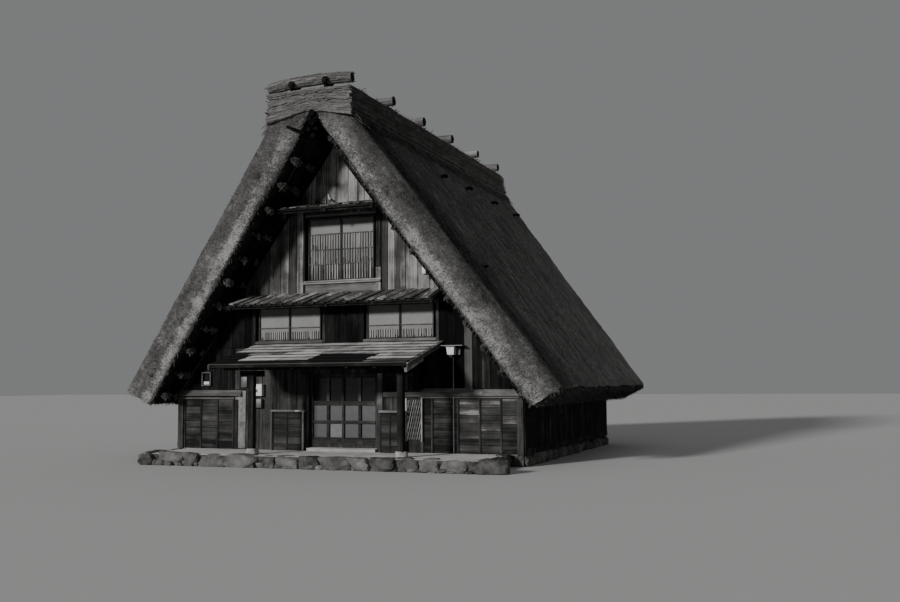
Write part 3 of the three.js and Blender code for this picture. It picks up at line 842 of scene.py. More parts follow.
def ridge_poles():
    """The two poles under the cross logs, and the dark pole ends bunched at each apex."""
    poles = Batch(6)
    for x in (-0.42, 0.44):
        poles.crooked_pole((x, -5.76, 8.60), (x, 5.22, 8.60), 0.085, 24, 0.02, None, 12, 0.3)
    for x, z, y, r in (
        (0.09, 8.03, 5.85, 0.075), (0.01, 7.90, 5.83, 0.065), (0.17, 7.88, 5.84, 0.06),
        (0.08, 7.78, 5.84, 0.07), (-0.03, 7.66, 5.76, 0.055), (0.16, 7.65, 5.78, 0.055),
        (0.07, 7.53, 5.74, 0.06),
    ):
        for end in (-1, 1):
            inner = (x * 0.5, 0, z - 0.02)
            poles.crooked_pole((x, end * y, z), inner, r, 6, 0.02, tone=(0.0, 0.4))
            for _ in range(3):
                root = Vector((x, end * (y - 0.03), z))
                poles.pole(root, root + astray(poles.luck, 1) * 0.12, 0.018, 0.008, 5, 0.1)
    for end in (-1, 1):
        start, stop = (-0.55, end * 5.83, 7.77), (-0.10, end * 5.79, 7.57)
        poles.crooked_pole(start, stop, 0.030, 5, 0.02, 0.048, 8, 0.0)
    poles = poles.done(
        "ridge_poles", "pole_wood charred_end", "dark_timber", smooth=40,
        sort=lambda face: abs(face.calc_center_median().y) > 5.2,
    )
    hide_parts("ridge_cap")


def roll_bow(x):
    return 0.075 * (1 - (x / 1.08) ** 2)


def ridge_logs():
    """The logs across the ridge; the first is wrapped in straw and bows up in its middle."""
    for i, y in enumerate(LOG_PLACES):
        batch = Batch(60 + i)
        luck = batch.luck
        if i:
            ends, rises = (luck.uniform(-1.25, -1.1), luck.uniform(1.12, 1.24)), (LOG_HIGH,) * 2
            thick, tone, stems = luck.uniform(0.105, 0.125), (0.4, 0.8), 0
        else:
            ends, rises, thick, tone, stems = (-1.06, 1.09), (8.705, 8.76), 0.118, 0.5, 260
        points = [(x, y, z) for x, z in zip(ends, rises)]
        batch.crooked_pole(*points, thick, 26, 0.02, thick * 0.95, 16, tone)
        for _ in range(stems):
            x, long = luck.uniform(*ends), luck.uniform(0.1, 0.4)
            angle = luck.uniform(0, 2 * math.pi)
            points = []
            for place in (x - long / 2, x + long / 2):
                place = max(ends[0] - 0.07, min(ends[1] + 0.03, place))
                angle += luck.uniform(-0.15, 0.15)
                reach = thick + luck.uniform(-0.002, 0.014)
                z = ROLL_HIGH + ROLL_RISE * place + reach * math.sin(angle)
                points.append((place, y + reach * math.cos(angle), z))
            batch.pole(*points, luck.uniform(0.005, 0.011), sides=4, tone=(0, 1))
        batch.pour()
        for vert in batch.whole.verts if not i else ():
            vert.co.z += roll_bow(vert.co.x)
        piece = batch.done(
            f"ridge_roll_{i + 1}", f"{'bleached_log' if i else 'ridge_straw'} log_end",
            "pale_timber", smooth=40, sort=lambda face: face.normal.x > 0.8,
        )
        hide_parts(f"ridge_log_{i + 1}")
    ropes = Batch(70)
    ring, knot = rope_ring(0.132, 0.010, 3), rope_ring(0.062, 0.026, 2)
    for i, y in enumerate(LOG_PLACES):
        for x in (-0.41, 0.46):
            z = ROLL_HIGH + (0 if i else ROLL_RISE * x + roll_bow(x))
            if i:
                ropes.stamp(ring, spot(x, y, z, turn=math.pi / 2, axis="Y"), 0.1)
            for side in (-1, 1):
                low = (x, y + side * 0.135, z - (0.045 if i else 0.075))
                ropes.stamp(knot, spot(*low, turn=0.6, axis="X"), 0.05)
                ropes.stamp(knot, spot(*low, turn=1.9, axis="Y"), 0.0)
    ropes.done("ridge_ropes", "dark_rope", "ridge_straw", smooth=60)


def slope_pegs():
    """Short bent stubs of the poles that come out through the slopes below the ridge."""
    batch = Batch(75)

    def on_slope(x, y, sign):
        return Vector((sign * x, y, 7.862 - (x - 1.116) * TAN))

    for sign in (-1, 1):
        for y, up in zip(LOG_PLACES[2:], (0.38, 0.43, 0.36, 0.30)):
            foot = on_slope(1.87 - up / TAN, y, sign)
            elbow = foot + Vector((sign * batch.luck.uniform(0.10, 0.14), 0, 0.03))
            tip = elbow + Vector((sign * 0.07, batch.luck.uniform(-0.04, 0.04), -0.05))
            for start, end, tone in ((foot - (elbow - foot), elbow, 1.0), (elbow, tip, 0.3)):
                batch.crooked_pole(start, end, 0.048, 3, 0.012, 0.044, 10, tone)
    foot = on_slope(3.60, -4.04, 1)
    batch.pole(foot - Vector((0.1, 0, 0)), foot + Vector((0.1, -0.02, 0.03)), 0.03, sides=8)
    batch.done(
        "slope_pegs", "pole_wood log_end", "pole_timber", smooth=40,
        sort=lambda face: abs(face.normal.x) > 0.85,
    )


# Roof timbers under the thatch
def roof_timbers(side, sign):
    batch = Batch(80 + sign)
    for i in range(11):
        point = under_slope(PURLIN_FIRST + PURLIN_STEP * i, 0.057, sign)
        reach = BACK + verge_reach(point.z) - (0.19 if i < 9 and sign < 0 else 0.42)
        start, end = (point.x, -reach, point.z), (point.x, reach, point.z)
        batch.crooked_pole(start, end, 0.056, 14, 0.016, tone=(0.0, 0.6))
    for i in range(5):
        y = -4.17 + 2.085 * i
        low, high = under_slope(0.9, 0.18, sign, y), under_slope(8.0, 0.18, sign, y)
        batch.bar(low + (high - low) * 0.17, high, (0, 1, 0), 0.12, 0.19, (0.2, 0.5))
        low, high = under_slope(0.15, 0.135, sign, y), under_slope(1.56, 0.135, sign, y)
        batch.bar(low, high, (0, 1, 0), 0.1, 0.1, (0.2, 0.5))
    for end in (-1, 1):
        for inset, share, depth, thick in ((0.42, 1, 0.105, 0.044), (0.3, 0.42, 0.11, 0.036)):
            points = []
            for along in (0.2, 7.35):
                point = under_slope(along, depth, sign)
                point.y = end * (BACK + (verge_reach(point.z) - inset) * share)
                points.append(point)
            batch.crooked_pole(*points, thick, 22, 0.014, None, 8, -0.3)
        low, high = (under_slope(along, 0.17, sign, end * 4.30) for along in (0.55, 2.3))
        batch.crooked_pole(low, high, 0.026, 6, 0.01, None, 8, 1.0)
    piece = batch.done(f"roof_poles_{side}", "pole_wood", "pole_timber", smooth=45)
    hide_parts(f"roof_frame_{side}")


def lashings():
    """Straw-rope knots that tie the verge poles to the purlins."""
    batch = Batch(90)
    luck = batch.luck
    ring = rope_ring(0.078, 0.017, 3, 0.9)
    for sign in (-1, 1):
        downhill, outward = slope_ways(sign)
        knots = 11 if sign < 0 else 8
        for end, i, inner in [(e, i, n) for e in (-1, 1) for i in range(knots) for n in (0, 1)]:
            point = under_slope(PURLIN_FIRST + PURLIN_STEP * i, 0.075, sign)
            out = (verge_reach(point.z) - (0.3 if sign < 0 else 0.5)) * (0.42 if inner else 1)
            for shift in (-0.07, 0.07):
                if shift > 0 and luck.random() < (0.6 if inner else 0.2):
                    continue
                y = end * (BACK + out + shift + luck.uniform(-0.02, 0.02))
                centre = Vector((point.x, y, point.z - luck.uniform(0, 0.03)))
                shade = luck.uniform(0.1, 0.9)
                for way in (-1, 1):
                    axis = downhill + Vector((0, way * luck.uniform(0.7, 1.3), 0))
                    turn = axis.to_track_quat("Z", "Y").to_matrix().to_4x4()
                    size = Matrix.Scale(luck.uniform(0.7, 1.05), 4)
                    batch.stamp(ring, Matrix.Translation(centre) @ turn @ size, shade)
                for _ in range(luck.randint(6, 11)):
                    root = centre - outward * 0.07 + downhill * luck.uniform(-0.05, 0.05)
                    way = (astray(luck, 0.8) + Vector((0, 0, -1.0))).normalized()
                    tip = root + way * luck.uniform(0.04, 0.10)
                    batch.pole(root, tip, luck.uniform(0.014, 0.026), 0.010, 5, (0.1, 1.1))
    batch.done("roof_lashings", "straw_rope", "thatch", smooth=60)


# Boards
def boarding(batch, wall, *rows):
    """Upright boards on a wall, cut to the roof.

    Each row gives left, right, low, high, then the least and greatest width and tone.
    """
    luck, thick = batch.luck, 0.018
    for at, stop, low, high, narrow, broad, *tones in rows:
        while stop - at > 0.02:
            width = luck.uniform(narrow, broad)
            if stop - at - width < narrow * 0.6:
                width = stop - at
            edges = (at, at + width)
            tops = [min(high, roof_line(edge)) for edge in edges]
            if max(tops) > low + 0.06:
                gap = luck.uniform(0.002, 0.006)
                proud = thick * luck.uniform(0.7, 1.4)
                foot = low + luck.uniform(-0.008, 0.008)
                reach = (at + gap, at + width - gap)
                for vert in batch.on(wall, reach, (foot, high), (-0.004, proud), tuple(tones)):
                    along = vert.co.x if wall in ("front", "back") else vert.co.y
                    if vert.co.z > (low + high) / 2:
                        nearer = abs(along - edges[0]) < abs(along - edges[1])
                        vert.co.z = max(foot + 0.02, tops[0] if nearer else tops[1])
            at += width


def gable_boards(wall):
    """Upright boards over the gable, round the windows, cut to the roof."""
    batch = Batch(100 if wall == "front" else 101)
    for low, high, inset, gap, edges, tones in (
        (PEAK_FOOT, 8.2, 0.001, 0.012,
         (-1.48, -1.06, -0.86, -0.618, -0.356, -0.095, 0.232, 0.488, 0.66, 0.809, 1.078, 1.40),
         (0.3, 0.6, 0.8, 0.75, 0.9, 0.95, 1.1, 0.80, 1.1, 1.0, 0.7)),
        (LOFT_FOOT, LOFT_HEAD, 0, 0.010, (-2.62, -2.3, -1.944, -1.618, -1.385, -1.172, -0.985),
         (0.1, 0.3, 0.3, 0.55, 0.4, 0.65)),
        (LOFT_FOOT, LOFT_HEAD, 0, 0.010, (1.127, 1.276, 1.457, 1.734, 2.042, 2.34, 2.65),
         (0.45, 1.05, 0.5, 0.85, 0.7, 0.55)),
    ):
        for first, last, tone in zip(edges, edges[1:], tones):
            boarding(batch, wall, (first - inset, last - gap, low, high, 1, 1, tone, tone))
    boarding(
        batch, wall,
        (-0.93, 0.97, 5.945, LOFT_HEAD, 0.17, 0.30, 0.2, 0.3),
        (-2.33, -0.33, 3.81, UPPER_HEAD, 0.17, 0.30, 0.2, 0.4),
        (0.62, 2.56, 3.81, UPPER_HEAD, 0.17, 0.30, 0.2, 0.4),
    )
    batch.done(f"gable_boards_{wall}", "weathered_board_upright", "aged_board")
    # Boards under the porch roof and under the roof's shaded edges take a near-black finish and
    # low tones: painted shade; the panel between the upper windows is in part its own dark wood.
    dark = Batch(102)
    foot = 1.73 if wall == "front" else UPPER_FOOT
    rows = [
        (-0.33, 0.62, 2.80, UPPER_HEAD, 0.2, 0.28, -0.3, 0.3),
        (-2.62, -2.33, UPPER_FOOT, UPPER_HEAD, 0.17, 0.30, -0.2, 0.2),
        (-4.42, -2.62, UPPER_FOOT, UPPER_HEAD, 0.17, 0.30, -0.4, 0.3),
        (2.56, 3.17, foot, UPPER_HEAD, 0.17, 0.26, -0.5, 0.1),
        (3.17, 4.45, foot, UPPER_HEAD, 0.17, 0.26, 0.0, 0.7),
    ]
    if wall == "front":
        rows.insert(3, (-4.42, -2.90, foot, GROUND_HEAD, 0.17, 0.30, -0.1, 0.65))
        rows.append((1.15, 2.56, 1.70, GROUND_HEAD, 0.2, 0.3, 0.0, 0.5))
        rows.append((-0.81, 1.0, 2.24, GROUND_HEAD, 0.2, 0.3, 0.0, 0.5))
    boarding(dark, wall, *rows)
    if wall == "front":
        dark.fix(wall, (3.19, 3.37, 1.73, roof_line(3.37) - 0.02, 0.018, 0.034, 1.2))
    dark.done(f"dark_boards_{wall}", "smoked_timber_upright", "aged_board")


# Windows
def window_trim(wall):
    """Posts, sills and heads round the three windows of a gable."""
    posts, rails = Batch(110), Batch(111)
    for left, right, low, high, tone, proud in (
        (-0.985, -0.935, LOFT_FOOT, 6.02, -0.2, 0.035), (0.966, 1.085, 4.62, 6.02, -0.05, 0.030),
        (0.966, 1.085, LOFT_FOOT, 4.61, 0.7, 0.032), (1.085, 1.127, LOFT_FOOT, 6.02, -0.6, 0.012),
        (-2.40, -2.313, 2.80, 3.98, -0.1, 0.04), (-0.45, -0.37, 2.80, 3.98, 0.15, 0.035),
        (-0.37, -0.33, 2.80, 3.98, -0.4, 0.014), (0.60, 0.638, 2.80, 3.98, -0.4, 0.02),
        (2.49, 2.56, 2.80, 3.98, 0.4, 0.03),
    ):
        posts.fix(wall, (left, right, low, high, -0.004, proud, tone))
    # The heads just under the pent roofs, at 5.90 and 3.765, get the low tone -0.2: painted shade.
    rails.fix(
        wall,
        (-0.97, 1.09, 4.262, 4.30, 0.0, 0.075, 0.6), (-0.97, 1.09, 4.315, 4.345, 0.0, 0.04, 0.7),
        (-0.93, 1.07, 4.04, 4.255, -0.004, 0.022, 0.15), (-0.93, 0.97, 5.90, 5.96, 0, 0.03, -0.2),
    )
    for left, right, tone in ((-2.31, -0.45, -0.15), (0.64, 2.49, 0.1)):
        rails.fix(
            wall, (left, right, 2.845, 2.882, 0, 0.05, tone),
            (left, right, 2.885, 2.905, 0, 0.03, tone), (left, right, 3.765, 3.81, 0, 0.02, -0.2),
        )
    posts.done(f"window_posts_{wall}", "weathered_board_upright", "dark_timber")
    rails.done(f"window_rails_{wall}", "pale_timber_level", "pale_timber")


def window_bars(wall):
    """Sash frames, lattice bars and light rails in front of the paper screens."""
    bars, frames = Batch(112), Batch(115)

    def row(left, right, low, high, pitch, wide, tone, skip):
        count = round((right - left) / pitch)
        for k in range(1, count):
            if bars.luck.random() < skip:
                continue
            s = left + (right - left) * k / count + bars.luck.uniform(-0.004, 0.004)
            bars.on(wall, (s - wide / 2, s + wide / 2), (low, high), (-0.036, -0.018), tone)

    for window in (TOP_WINDOW, LEFT_WINDOW, RIGHT_WINDOW):
        left, right, low, high = window
        middle, side, half = (left + right) / 2, 0.03, 0.02
        for s in ((left, left + side), (middle - half, middle + half), (right - side, right)):
            frames.on(wall, s, (low, high), (-0.075, -0.008), -0.2)
        for z in ((low, low + 0.035), (high - 0.045, high)):
            frames.on(wall, (left + side, right - side), z, (-0.075, -0.010), 0.1)
        rungs, rows = (3.228,), ((low, PAPER_FOOT, 0.060, 0.018, (0.7, 1.2), 0.1),)
        if window is TOP_WINDOW:
            rungs = (LOW_RUNG, MIDDLE_RUNG, HIGH_RUNG)
            rows = (
                (low, LOW_RUNG, 0.072, 0.028, (0.3, 1.1), 0.0),
                (LOW_RUNG, MIDDLE_RUNG, 0.072, 0.017, (0.5, 0.9), 0.03),
                (MIDDLE_RUNG, HIGH_RUNG, 0.072, 0.013, (0.5, 0.9), 0.06),
            )
        for first, last in ((left + side, middle - half), (middle + half, right - side)):
            for z in rungs:
                bars.on(wall, (first, last), (z - 0.009, z + 0.009), (-0.040, -0.014), 0.15)
            for settings in rows:
                row(first, last, *settings)
    bars.done(f"window_bars_{wall}", "lattice_bar", "sash_wood")
    piece = frames.done(f"upper_sashes_{wall}", "sash_wood", "sash_wood")
    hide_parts(f"{wall}_left_window", f"{wall}_right_window", f"{wall}_top_window")


def window_screens(wall):
    """Paper sheets behind the bars: pale above, with dark openings low down, and a darker top band
    that is the painted shadow of the roof above.
    """
    paper = (-0.052, -0.044)

    def fringe(batch, s, z, count, share, tall, tones):
        """Narrow strips over a width: each open and dark for a way up, then paper."""
        luck = batch.luck
        for k in range(count):
            one = (s[0] + (s[1] - s[0]) * k / count, s[0] + (s[1] - s[0]) * (k + 1) / count)
            step = z[0]
            if luck.random() < share:
                step = z[0] + luck.uniform(*tall)
                batch.on(wall, one, (z[0], step), paper, tones[0])
            batch.on(wall, one, (step, z[1]), paper, tones[1])

    def halves(batch, window, strips, sheets):
        left, right = window[:2]
        middle = (left + right) / 2
        for s in ((left, middle), (middle, right)):
            for settings in strips:
                fringe(batch, s, *settings)
            for low, high, tone in sheets:
                batch.on(wall, s, (low, high), paper, tone)

    sheets, upper = Batch(113), Batch(114)
    halves(sheets, TOP_WINDOW, (
        ((TOP_WINDOW[2], LOW_RUNG), 24, 0.9, (0.16, 0.36), (0.02, 0.42)),
        ((LOW_RUNG, MIDDLE_RUNG), 24, 0.5, (0.05, 0.22), (0.35, 0.62)),
        ((MIDDLE_RUNG, HIGH_RUNG), 24, 0.3, (0.03, 0.16), (0.2, 0.74)),
    # The top window's sheet above 5.68 is darker: painted shadow of the top pent roof.
    ), ((HIGH_RUNG, 5.68, 0.78), (5.68, TOP_WINDOW[3], 0.5)))
    for window in (LEFT_WINDOW, RIGHT_WINDOW):
        low, high = window[2:]
        halves(
            upper, window, (((low, PAPER_FOOT), 30, 0.5, (0.04, 0.11), (0.0, 0.66)),),
            # The sheet above 3.53 is darker: painted shadow of the middle pent roof.
            ((PAPER_FOOT, 3.23, 0.70), (3.23, 3.53, 0.78), (3.53, high, 0.52)),
        )
    top = sheets.done(f"top_screens_{wall}", "paper_screen", "window_pane")
    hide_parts(f"{wall}_top_panes")
    middle = upper.done(f"upper_screens_{wall}", "paper_screen", "window_pane")
    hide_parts(f"{wall}_upper_panes")


# Pent roofs between the storeys
def pent_roof(wall, name, left, right, high, low, depth, count, skew=0.0):
    """Boards laid in two layers down the fall of a small roof, on brackets."""
    batch = Batch(120 + count)
    luck = batch.luck
    out = -1 if wall == "front" else 1
    pitch = (right - left - skew) / count
    for upper in (False, True):
        for k in range(count + (0 if upper else 1)):
            x = left + skew + pitch * (k + (0.5 if upper else 0.0)) + luck.uniform(-0.02, 0.02)
            wide = pitch * (luck.uniform(0.60, 0.76) if upper else 0.97)
            x = max(left + skew + wide / 2, min(right - wide / 2, x))
            lean = skew * min(1.0, (right - x) / 0.7)
            lift = 0.036 if upper else 0.010
            over = 1 + luck.uniform(-0.03, 0.05)
            end_z = high + lift - (high - low) * over + luck.uniform(-0.004, 0.012)
            start = (x, out * (BACK + 0.003), high + lift)
            end = (x - lean, out * (BACK + 0.003 + depth * over), end_z)
            across = (1, 0, luck.uniform(-0.09, 0.09) if upper else 0)
            # The lower layer, seen only in the gaps, is darker: painted shade between the boards.
            batch.bar(start, end, across, wide, 0.018, (0.15, 0.85) if upper else (-0.2, 0.1))
    batch.done(f"{name}_boards_{wall}", "roof_board", "roof_board")
    # The brackets under the roof take near-black timber: painted shade.
    under = Batch(130)
    y0, y1 = out * BACK, out * (BACK + depth)
    for x in (left + 0.05, (left + right) / 2, right - 0.05):
        under.bar((x, y0, high - 0.09), (x, y1, low - 0.07), (1, 0, 0), 0.06, 0.07, 0.3)
    ends = ((x, y1 - out * 0.09, low - 0.05) for x in (left - 0.06, right + 0.04))
    under.crooked_pole(*ends, 0.034, 12, 0.008, tone=0.5)
    under.done(f"{name}_brackets_{wall}", "smoked_timber_deep", "dark_timber")


# Porch
def porch_top(out):
    return PORCH_HIGH - PORCH_DROP / PORCH_DEEP * out


def sheet_tone(row, x, luck):
    """The porch roof's patches: a bright painted reflection at the left, a dark painted reflection
    in the middle and along the front row, and the left thatch's painted shadow over the left end;
    the rest take their own tones.
    """
    if row in (4, 5) and -1.72 < x < 0.14:
        return (1.9 if x < -0.8 else 1.2) - 0.3 * (row - 4)
    if row in (4, 5) and x < 1.62:
        return luck.uniform(-0.6, -0.3)
    if row == 6:
        return luck.uniform(-0.7, -0.3) if x < 1.62 else 0.3
    if row >= 3 and x < -1.72:
        return luck.uniform(-0.5, -0.1)
    return luck.uniform(0.75, 1.05)


def porch():
    """The porch: its roof's courses, edge boards, hewn posts and their foot stones."""
    roof, edge, eave = Batch(140), Batch(141), Batch(144)
    luck, courses, level = roof.luck, 7, (1, 0, 0)
    left, right, front = PORCH_LEFT, PORCH_RIGHT, PORCH_EDGE
    step = PORCH_DEEP / courses
    for row in range(courses):
        inner, outer = row * step, min((row + 1) * step + 0.03, 2.045)
        y0, y1 = FRONT - max(0.0, inner - 0.03), FRONT - outer
        z0, z1 = porch_top(inner) + 0.004, porch_top(outer) + 0.026
        stops = [s + luck.uniform(-0.10, 0.10) for s in (-1.72, -0.80, 0.14, 0.95, 1.62)]
        for first, last in zip([left, *stops], [*stops, right]):
            middle = (first + last) / 2
            tone = sheet_tone(row, middle, luck)
            roof.bar((middle, y0, z0), (middle, y1, z1), level, last - first, 0.012, tone)
            # A dark lip under each course's edge: painted shade of the step.
            lip = (first, y1 - 0.004, z1 - 0.026)
            roof.block(lip, (last, y1 + 0.006, z1 + 0.004), min(tone, 1.0) - 0.75)
    roof.done("porch_courses", "roof_course", "roof_board")
    edge.block((left, front - 0.03, 2.302), (right, front - 0.002, 2.316), -0.2)
    eave.block((left + 0.01, front - 0.018, 2.235), (right - 0.01, front, 2.299), 0.0)
    for x in (-1.2, 0.3, 1.5):
        eave.block((x - 0.09, front - 0.024, 2.243), (x + 0.09, front - 0.018, 2.290), 0.25)
    eave.done("porch_eave_board", "smoked_timber_level", "dark_timber")
    high, low = porch_top(0.02), porch_top(2.043)
    for x in (right + 0.012, left - 0.012):
        for drop, sag, wide, thick, tone in (
            (-0.055, -0.075, 0.026, 0.10, -0.2), (0.004, -0.016, 0.03, 0.014, 0.8),
        ):
            start, end = (x, FRONT - 0.02, high + drop), (x, front - 0.01, low + sag)
            edge.bar(start, end, level, wide, thick, tone)
    start, end = (right - 0.02, FRONT - 1.15, 2.395), (right - 0.02, front - 0.02, 2.14)
    edge.bar(start, end, level, 0.06, 0.085, 0.5)
    edge.done("porch_edge_boards", "pale_timber_level", "pale_timber")
    for side, x in (("left", -1.5), ("right", 2.235)):
        post, foot = Batch(142), Batch(143)
        y, tall = FRONT - 1.45, 1.918 - 0.02
        post.stamp(hewn_post(0.14, 0.14, tall, x), spot(x, y, BASE), 0.5)
        post.block((x - 0.30, y - 0.05, 2.03), (x + 0.30, y + 0.05, 2.165), 0.0)
        piece = post.done(f"porch_post_{side}_hewn", "post_wood", "aged_board", smooth=35)
        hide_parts(f"porch_post_{side}")
        foot.stamp(rock(0.27, 0.27, 0.13, x), spot(x, y, 0.262), 0.95)
        foot.done(f"porch_post_{side}_stone", "post_stone", "stone", smooth=60)


# Ground floor
def front_boards():
    upright, level = Batch(150), Batch(151)
    # The boards under the porch roof are given low tones: painted shade.
    boarding(
        upright, "front",
        (-2.59, -0.99, BOARD_FOOT, GROUND_HEAD, 0.2, 0.28, -0.3, 0.3),
        (-2.90, -2.59, 1.74, GROUND_HEAD, 0.17, 0.30, -0.1, 0.3),
        (1.15, 1.76, BOARD_FOOT, 1.53, 0.2, 0.3, 0.15, 0.35),
        (1.76, 2.16, BOARD_FOOT, 1.53, 0.18, 0.25, 0.0, 0.2),
    )
    rows = [0.30, 0.46, 0.60, 0.78, 0.94, 1.13, 1.30, 1.50]
    for low, high in zip(rows, rows[1:]):
        base, foot = 0.05 if low < 0.6 else 0.35, low + 0.006
        # The sections from 2.17 to 3.03 are darker, most of all up to 2.41: a painted shadow.
        for left, right, tone in (
            (2.17, 2.41, -0.5), (2.41, 3.03, -0.25), (3.03, 3.55, 0.0), (3.55, 4.05, 0.0),
            (4.05, 4.42, 0.1), (-4.41, -3.88, -0.2), (-3.88, -3.39, -0.1), (-3.39, -2.91, -0.2),
        ):
            tone = base + tone + level.luck.uniform(-0.22, 0.22)
            proud, head = 0.016 * level.luck.uniform(0.8, 1.3), foot + (high - low) - 0.012
            level.fix("front", (left, right, foot, head, -0.004, proud, (tone, tone)))
    upright.done("front_upright_boards", "weathered_board_upright", "aged_board")
    level.done("front_level_boards", "weathered_board_level", "aged_board")


def front_trim():
    """Battens, cap boards, the low screens beside the door and a patch of plaster."""
    upright, level, low, patch = Batch(152), Batch(153), Batch(154), Batch(155)
    for x in (2.40, 3.03, 3.55, 4.05):
        upright.fix(
            "front", (x - 0.018, x + 0.018, BOARD_FOOT, 1.51, 0.0, 0.034, -0.2),
            (x - 0.032, x - 0.018, BOARD_FOOT, 1.51, 0.0, 0.030, 0.45),
        )
    for x in (-3.88, -3.39, -2.93, -4.36):
        upright.fix("front", (x - 0.022, x + 0.022, BOARD_FOOT, 1.50, 0.0, 0.036, -0.1))
    upright.fix(
        "front",
        (4.42, 4.56, FRAME_FOOT, 1.70, -0.02, 0.045, 0.3),
        (-4.56, -4.41, FRAME_FOOT, 1.74, -0.02, 0.045, 0.2),
        (2.10, 2.17, FRAME_FOOT, 1.51, -0.02, 0.045, 0.3),
        (-0.975, -0.815, FRAME_FOOT, 2.095, -0.02, 0.045, 0.1),
        (1.0, 1.14, FRAME_FOOT, 1.25, -0.02, 0.045, 0.2),
        (1.0, 1.14, 1.25, 2.10, -0.02, 0.045, 0.65),
        (1.14, 1.20, 1.25, 2.10, -0.02, 0.02, -0.3),
        (-0.815, 1.0, 2.098, 2.24, -0.02, 0.03, 0.0),
    )
    level.fix(
        "front",
        (2.10, 4.56, 1.515, 1.55, 0.0, 0.055, 0.15), (1.15, 2.20, 1.55, 1.66, 0.0, 0.04, 0.1),
    )

    def cap_board(x, wide, high, inner, foot, outer, tone):
        """A board that leans against the wall and sheds the rain."""
        start, end = (x, FRONT - inner, high), (x, FRONT - outer, foot)
        level.bar(start, end, (1, 0, 0), wide, 0.02, tone)

    for left, right, tone in ((2.11, 3.02, -0.1), (3.025, 3.62, 0.1), (3.625, 4.57, 0.0)):
        cap_board((left + right) / 2, right - left, 1.71, 0.01, 1.565, 0.095, tone)
    cap_board(2.78, 1.20, 1.735, 0.018, 1.66, 0.07, 0.25)
    level.fix("front", (-4.44, -2.90, 1.50, 1.53, 0.0, 0.05, 0.1))
    cap_board(-3.60, 1.80, 1.71, 0.01, 1.57, 0.08, -0.3)
    level.fix(
        "front",
        (1.16, 1.74, 1.19, SCREEN_HEAD, 0.30, 0.03, 0.6),
        (-1.80, -1.12, 1.195, SCREEN_HEAD, 0.15, 0.02, 0.3),
        (-1.12, -0.89, 1.195, SCREEN_HEAD, 0.15, 0.02, 0.9),
        (-0.93, -0.89, FRAME_FOOT, 1.20, 0.16, 0.12, 0.85),
        (-1.80, -1.76, FRAME_FOOT, 1.19, 0.15, 0.11, -0.5),
    )
    upright.done("front_battens", "weathered_board_upright", "aged_board")
    level.done("front_cap_boards", "pale_timber_level", "pale_timber")
    for x0, x1, y in ((1.18, 1.70, FRONT - 0.27), (-1.76, -0.93, FRONT - 0.12)):
        for z in (0.275 + 0.152 * k for k in range(6)):
            low.block((x0, y, z), (x1, y + 0.02, z + 0.146), (0.2, 0.9))
        for x in (x0 + 0.02, (x0 + x1) / 2, x1 - 0.02):
            low.block((x - 0.015, y - 0.012, FRAME_FOOT), (x + 0.015, y, 1.19), 0.3)
    low.done("low_screens", "smoked_timber_level", "dark_timber")
    for x in (-2.895 + 0.076 * k for k in range(4)):
        foot = 0.80 + patch.luck.uniform(-0.12, 0.1)
        patch.fix("front", (x, x + 0.076, foot, 1.70, -0.004, 0.012, (0.0, 0.4)))
    boarding(patch, "front", (-2.90, -2.59, BOARD_FOOT, 0.95, 0.17, 0.30, 0.0, 0.1))
    patch.done("plaster_patch", "clay_plaster", "aged_board")


def side_boards():
    # The side and back walls take near-black boards and frames: painted shade.
    boards, frame_bars = Batch(160), Batch(161)
    for wall in ("left", "right"):
        boarding(boards, wall, (FRONT, BACK, 0.30, 1.765, 0.18, 0.30, 0.2, 0.8))
        for s in (-4.16, -2.08, 0.0, 2.08, 4.16):
            frame_bars.fix(wall, (s - 0.07, s + 0.07, FRAME_FOOT, 1.77, -0.004, 0.040, (0.3, 0.7)))
        frame_bars.fix(
            wall, (FRONT, BACK, FRAME_FOOT, 0.40, -0.004, 0.05, 0.5),
            (FRONT, BACK, 1.0, 1.05, -0.004, 0.032, 0.4),
        )
    boarding(boards, "back", (-4.40, 4.40, 0.30, GROUND_HEAD, 0.17, 0.30, 0.2, 0.8))
    for s in (-4.48, -2.94, -0.98, 0.98, 2.94, 4.48):
        high = min(2.76, roof_line(s) - 0.02)
        frame_bars.fix("back", (s - 0.07, s + 0.07, FRAME_FOOT, high, -0.004, 0.04, (0.4, 0.7)))
    frame_bars.fix(
        "back", (-4.50, 4.50, FRAME_FOOT, 0.40, -0.004, 0.05, 0.5),
        (-3.7, 3.7, 2.62, 2.78, -0.004, 0.05, 0.5),
    )
    boards.done("side_and_back_boards", "side_board", "aged_board")
    frame_bars.done("side_and_back_frame", "smoked_timber_upright", "dark_timber")


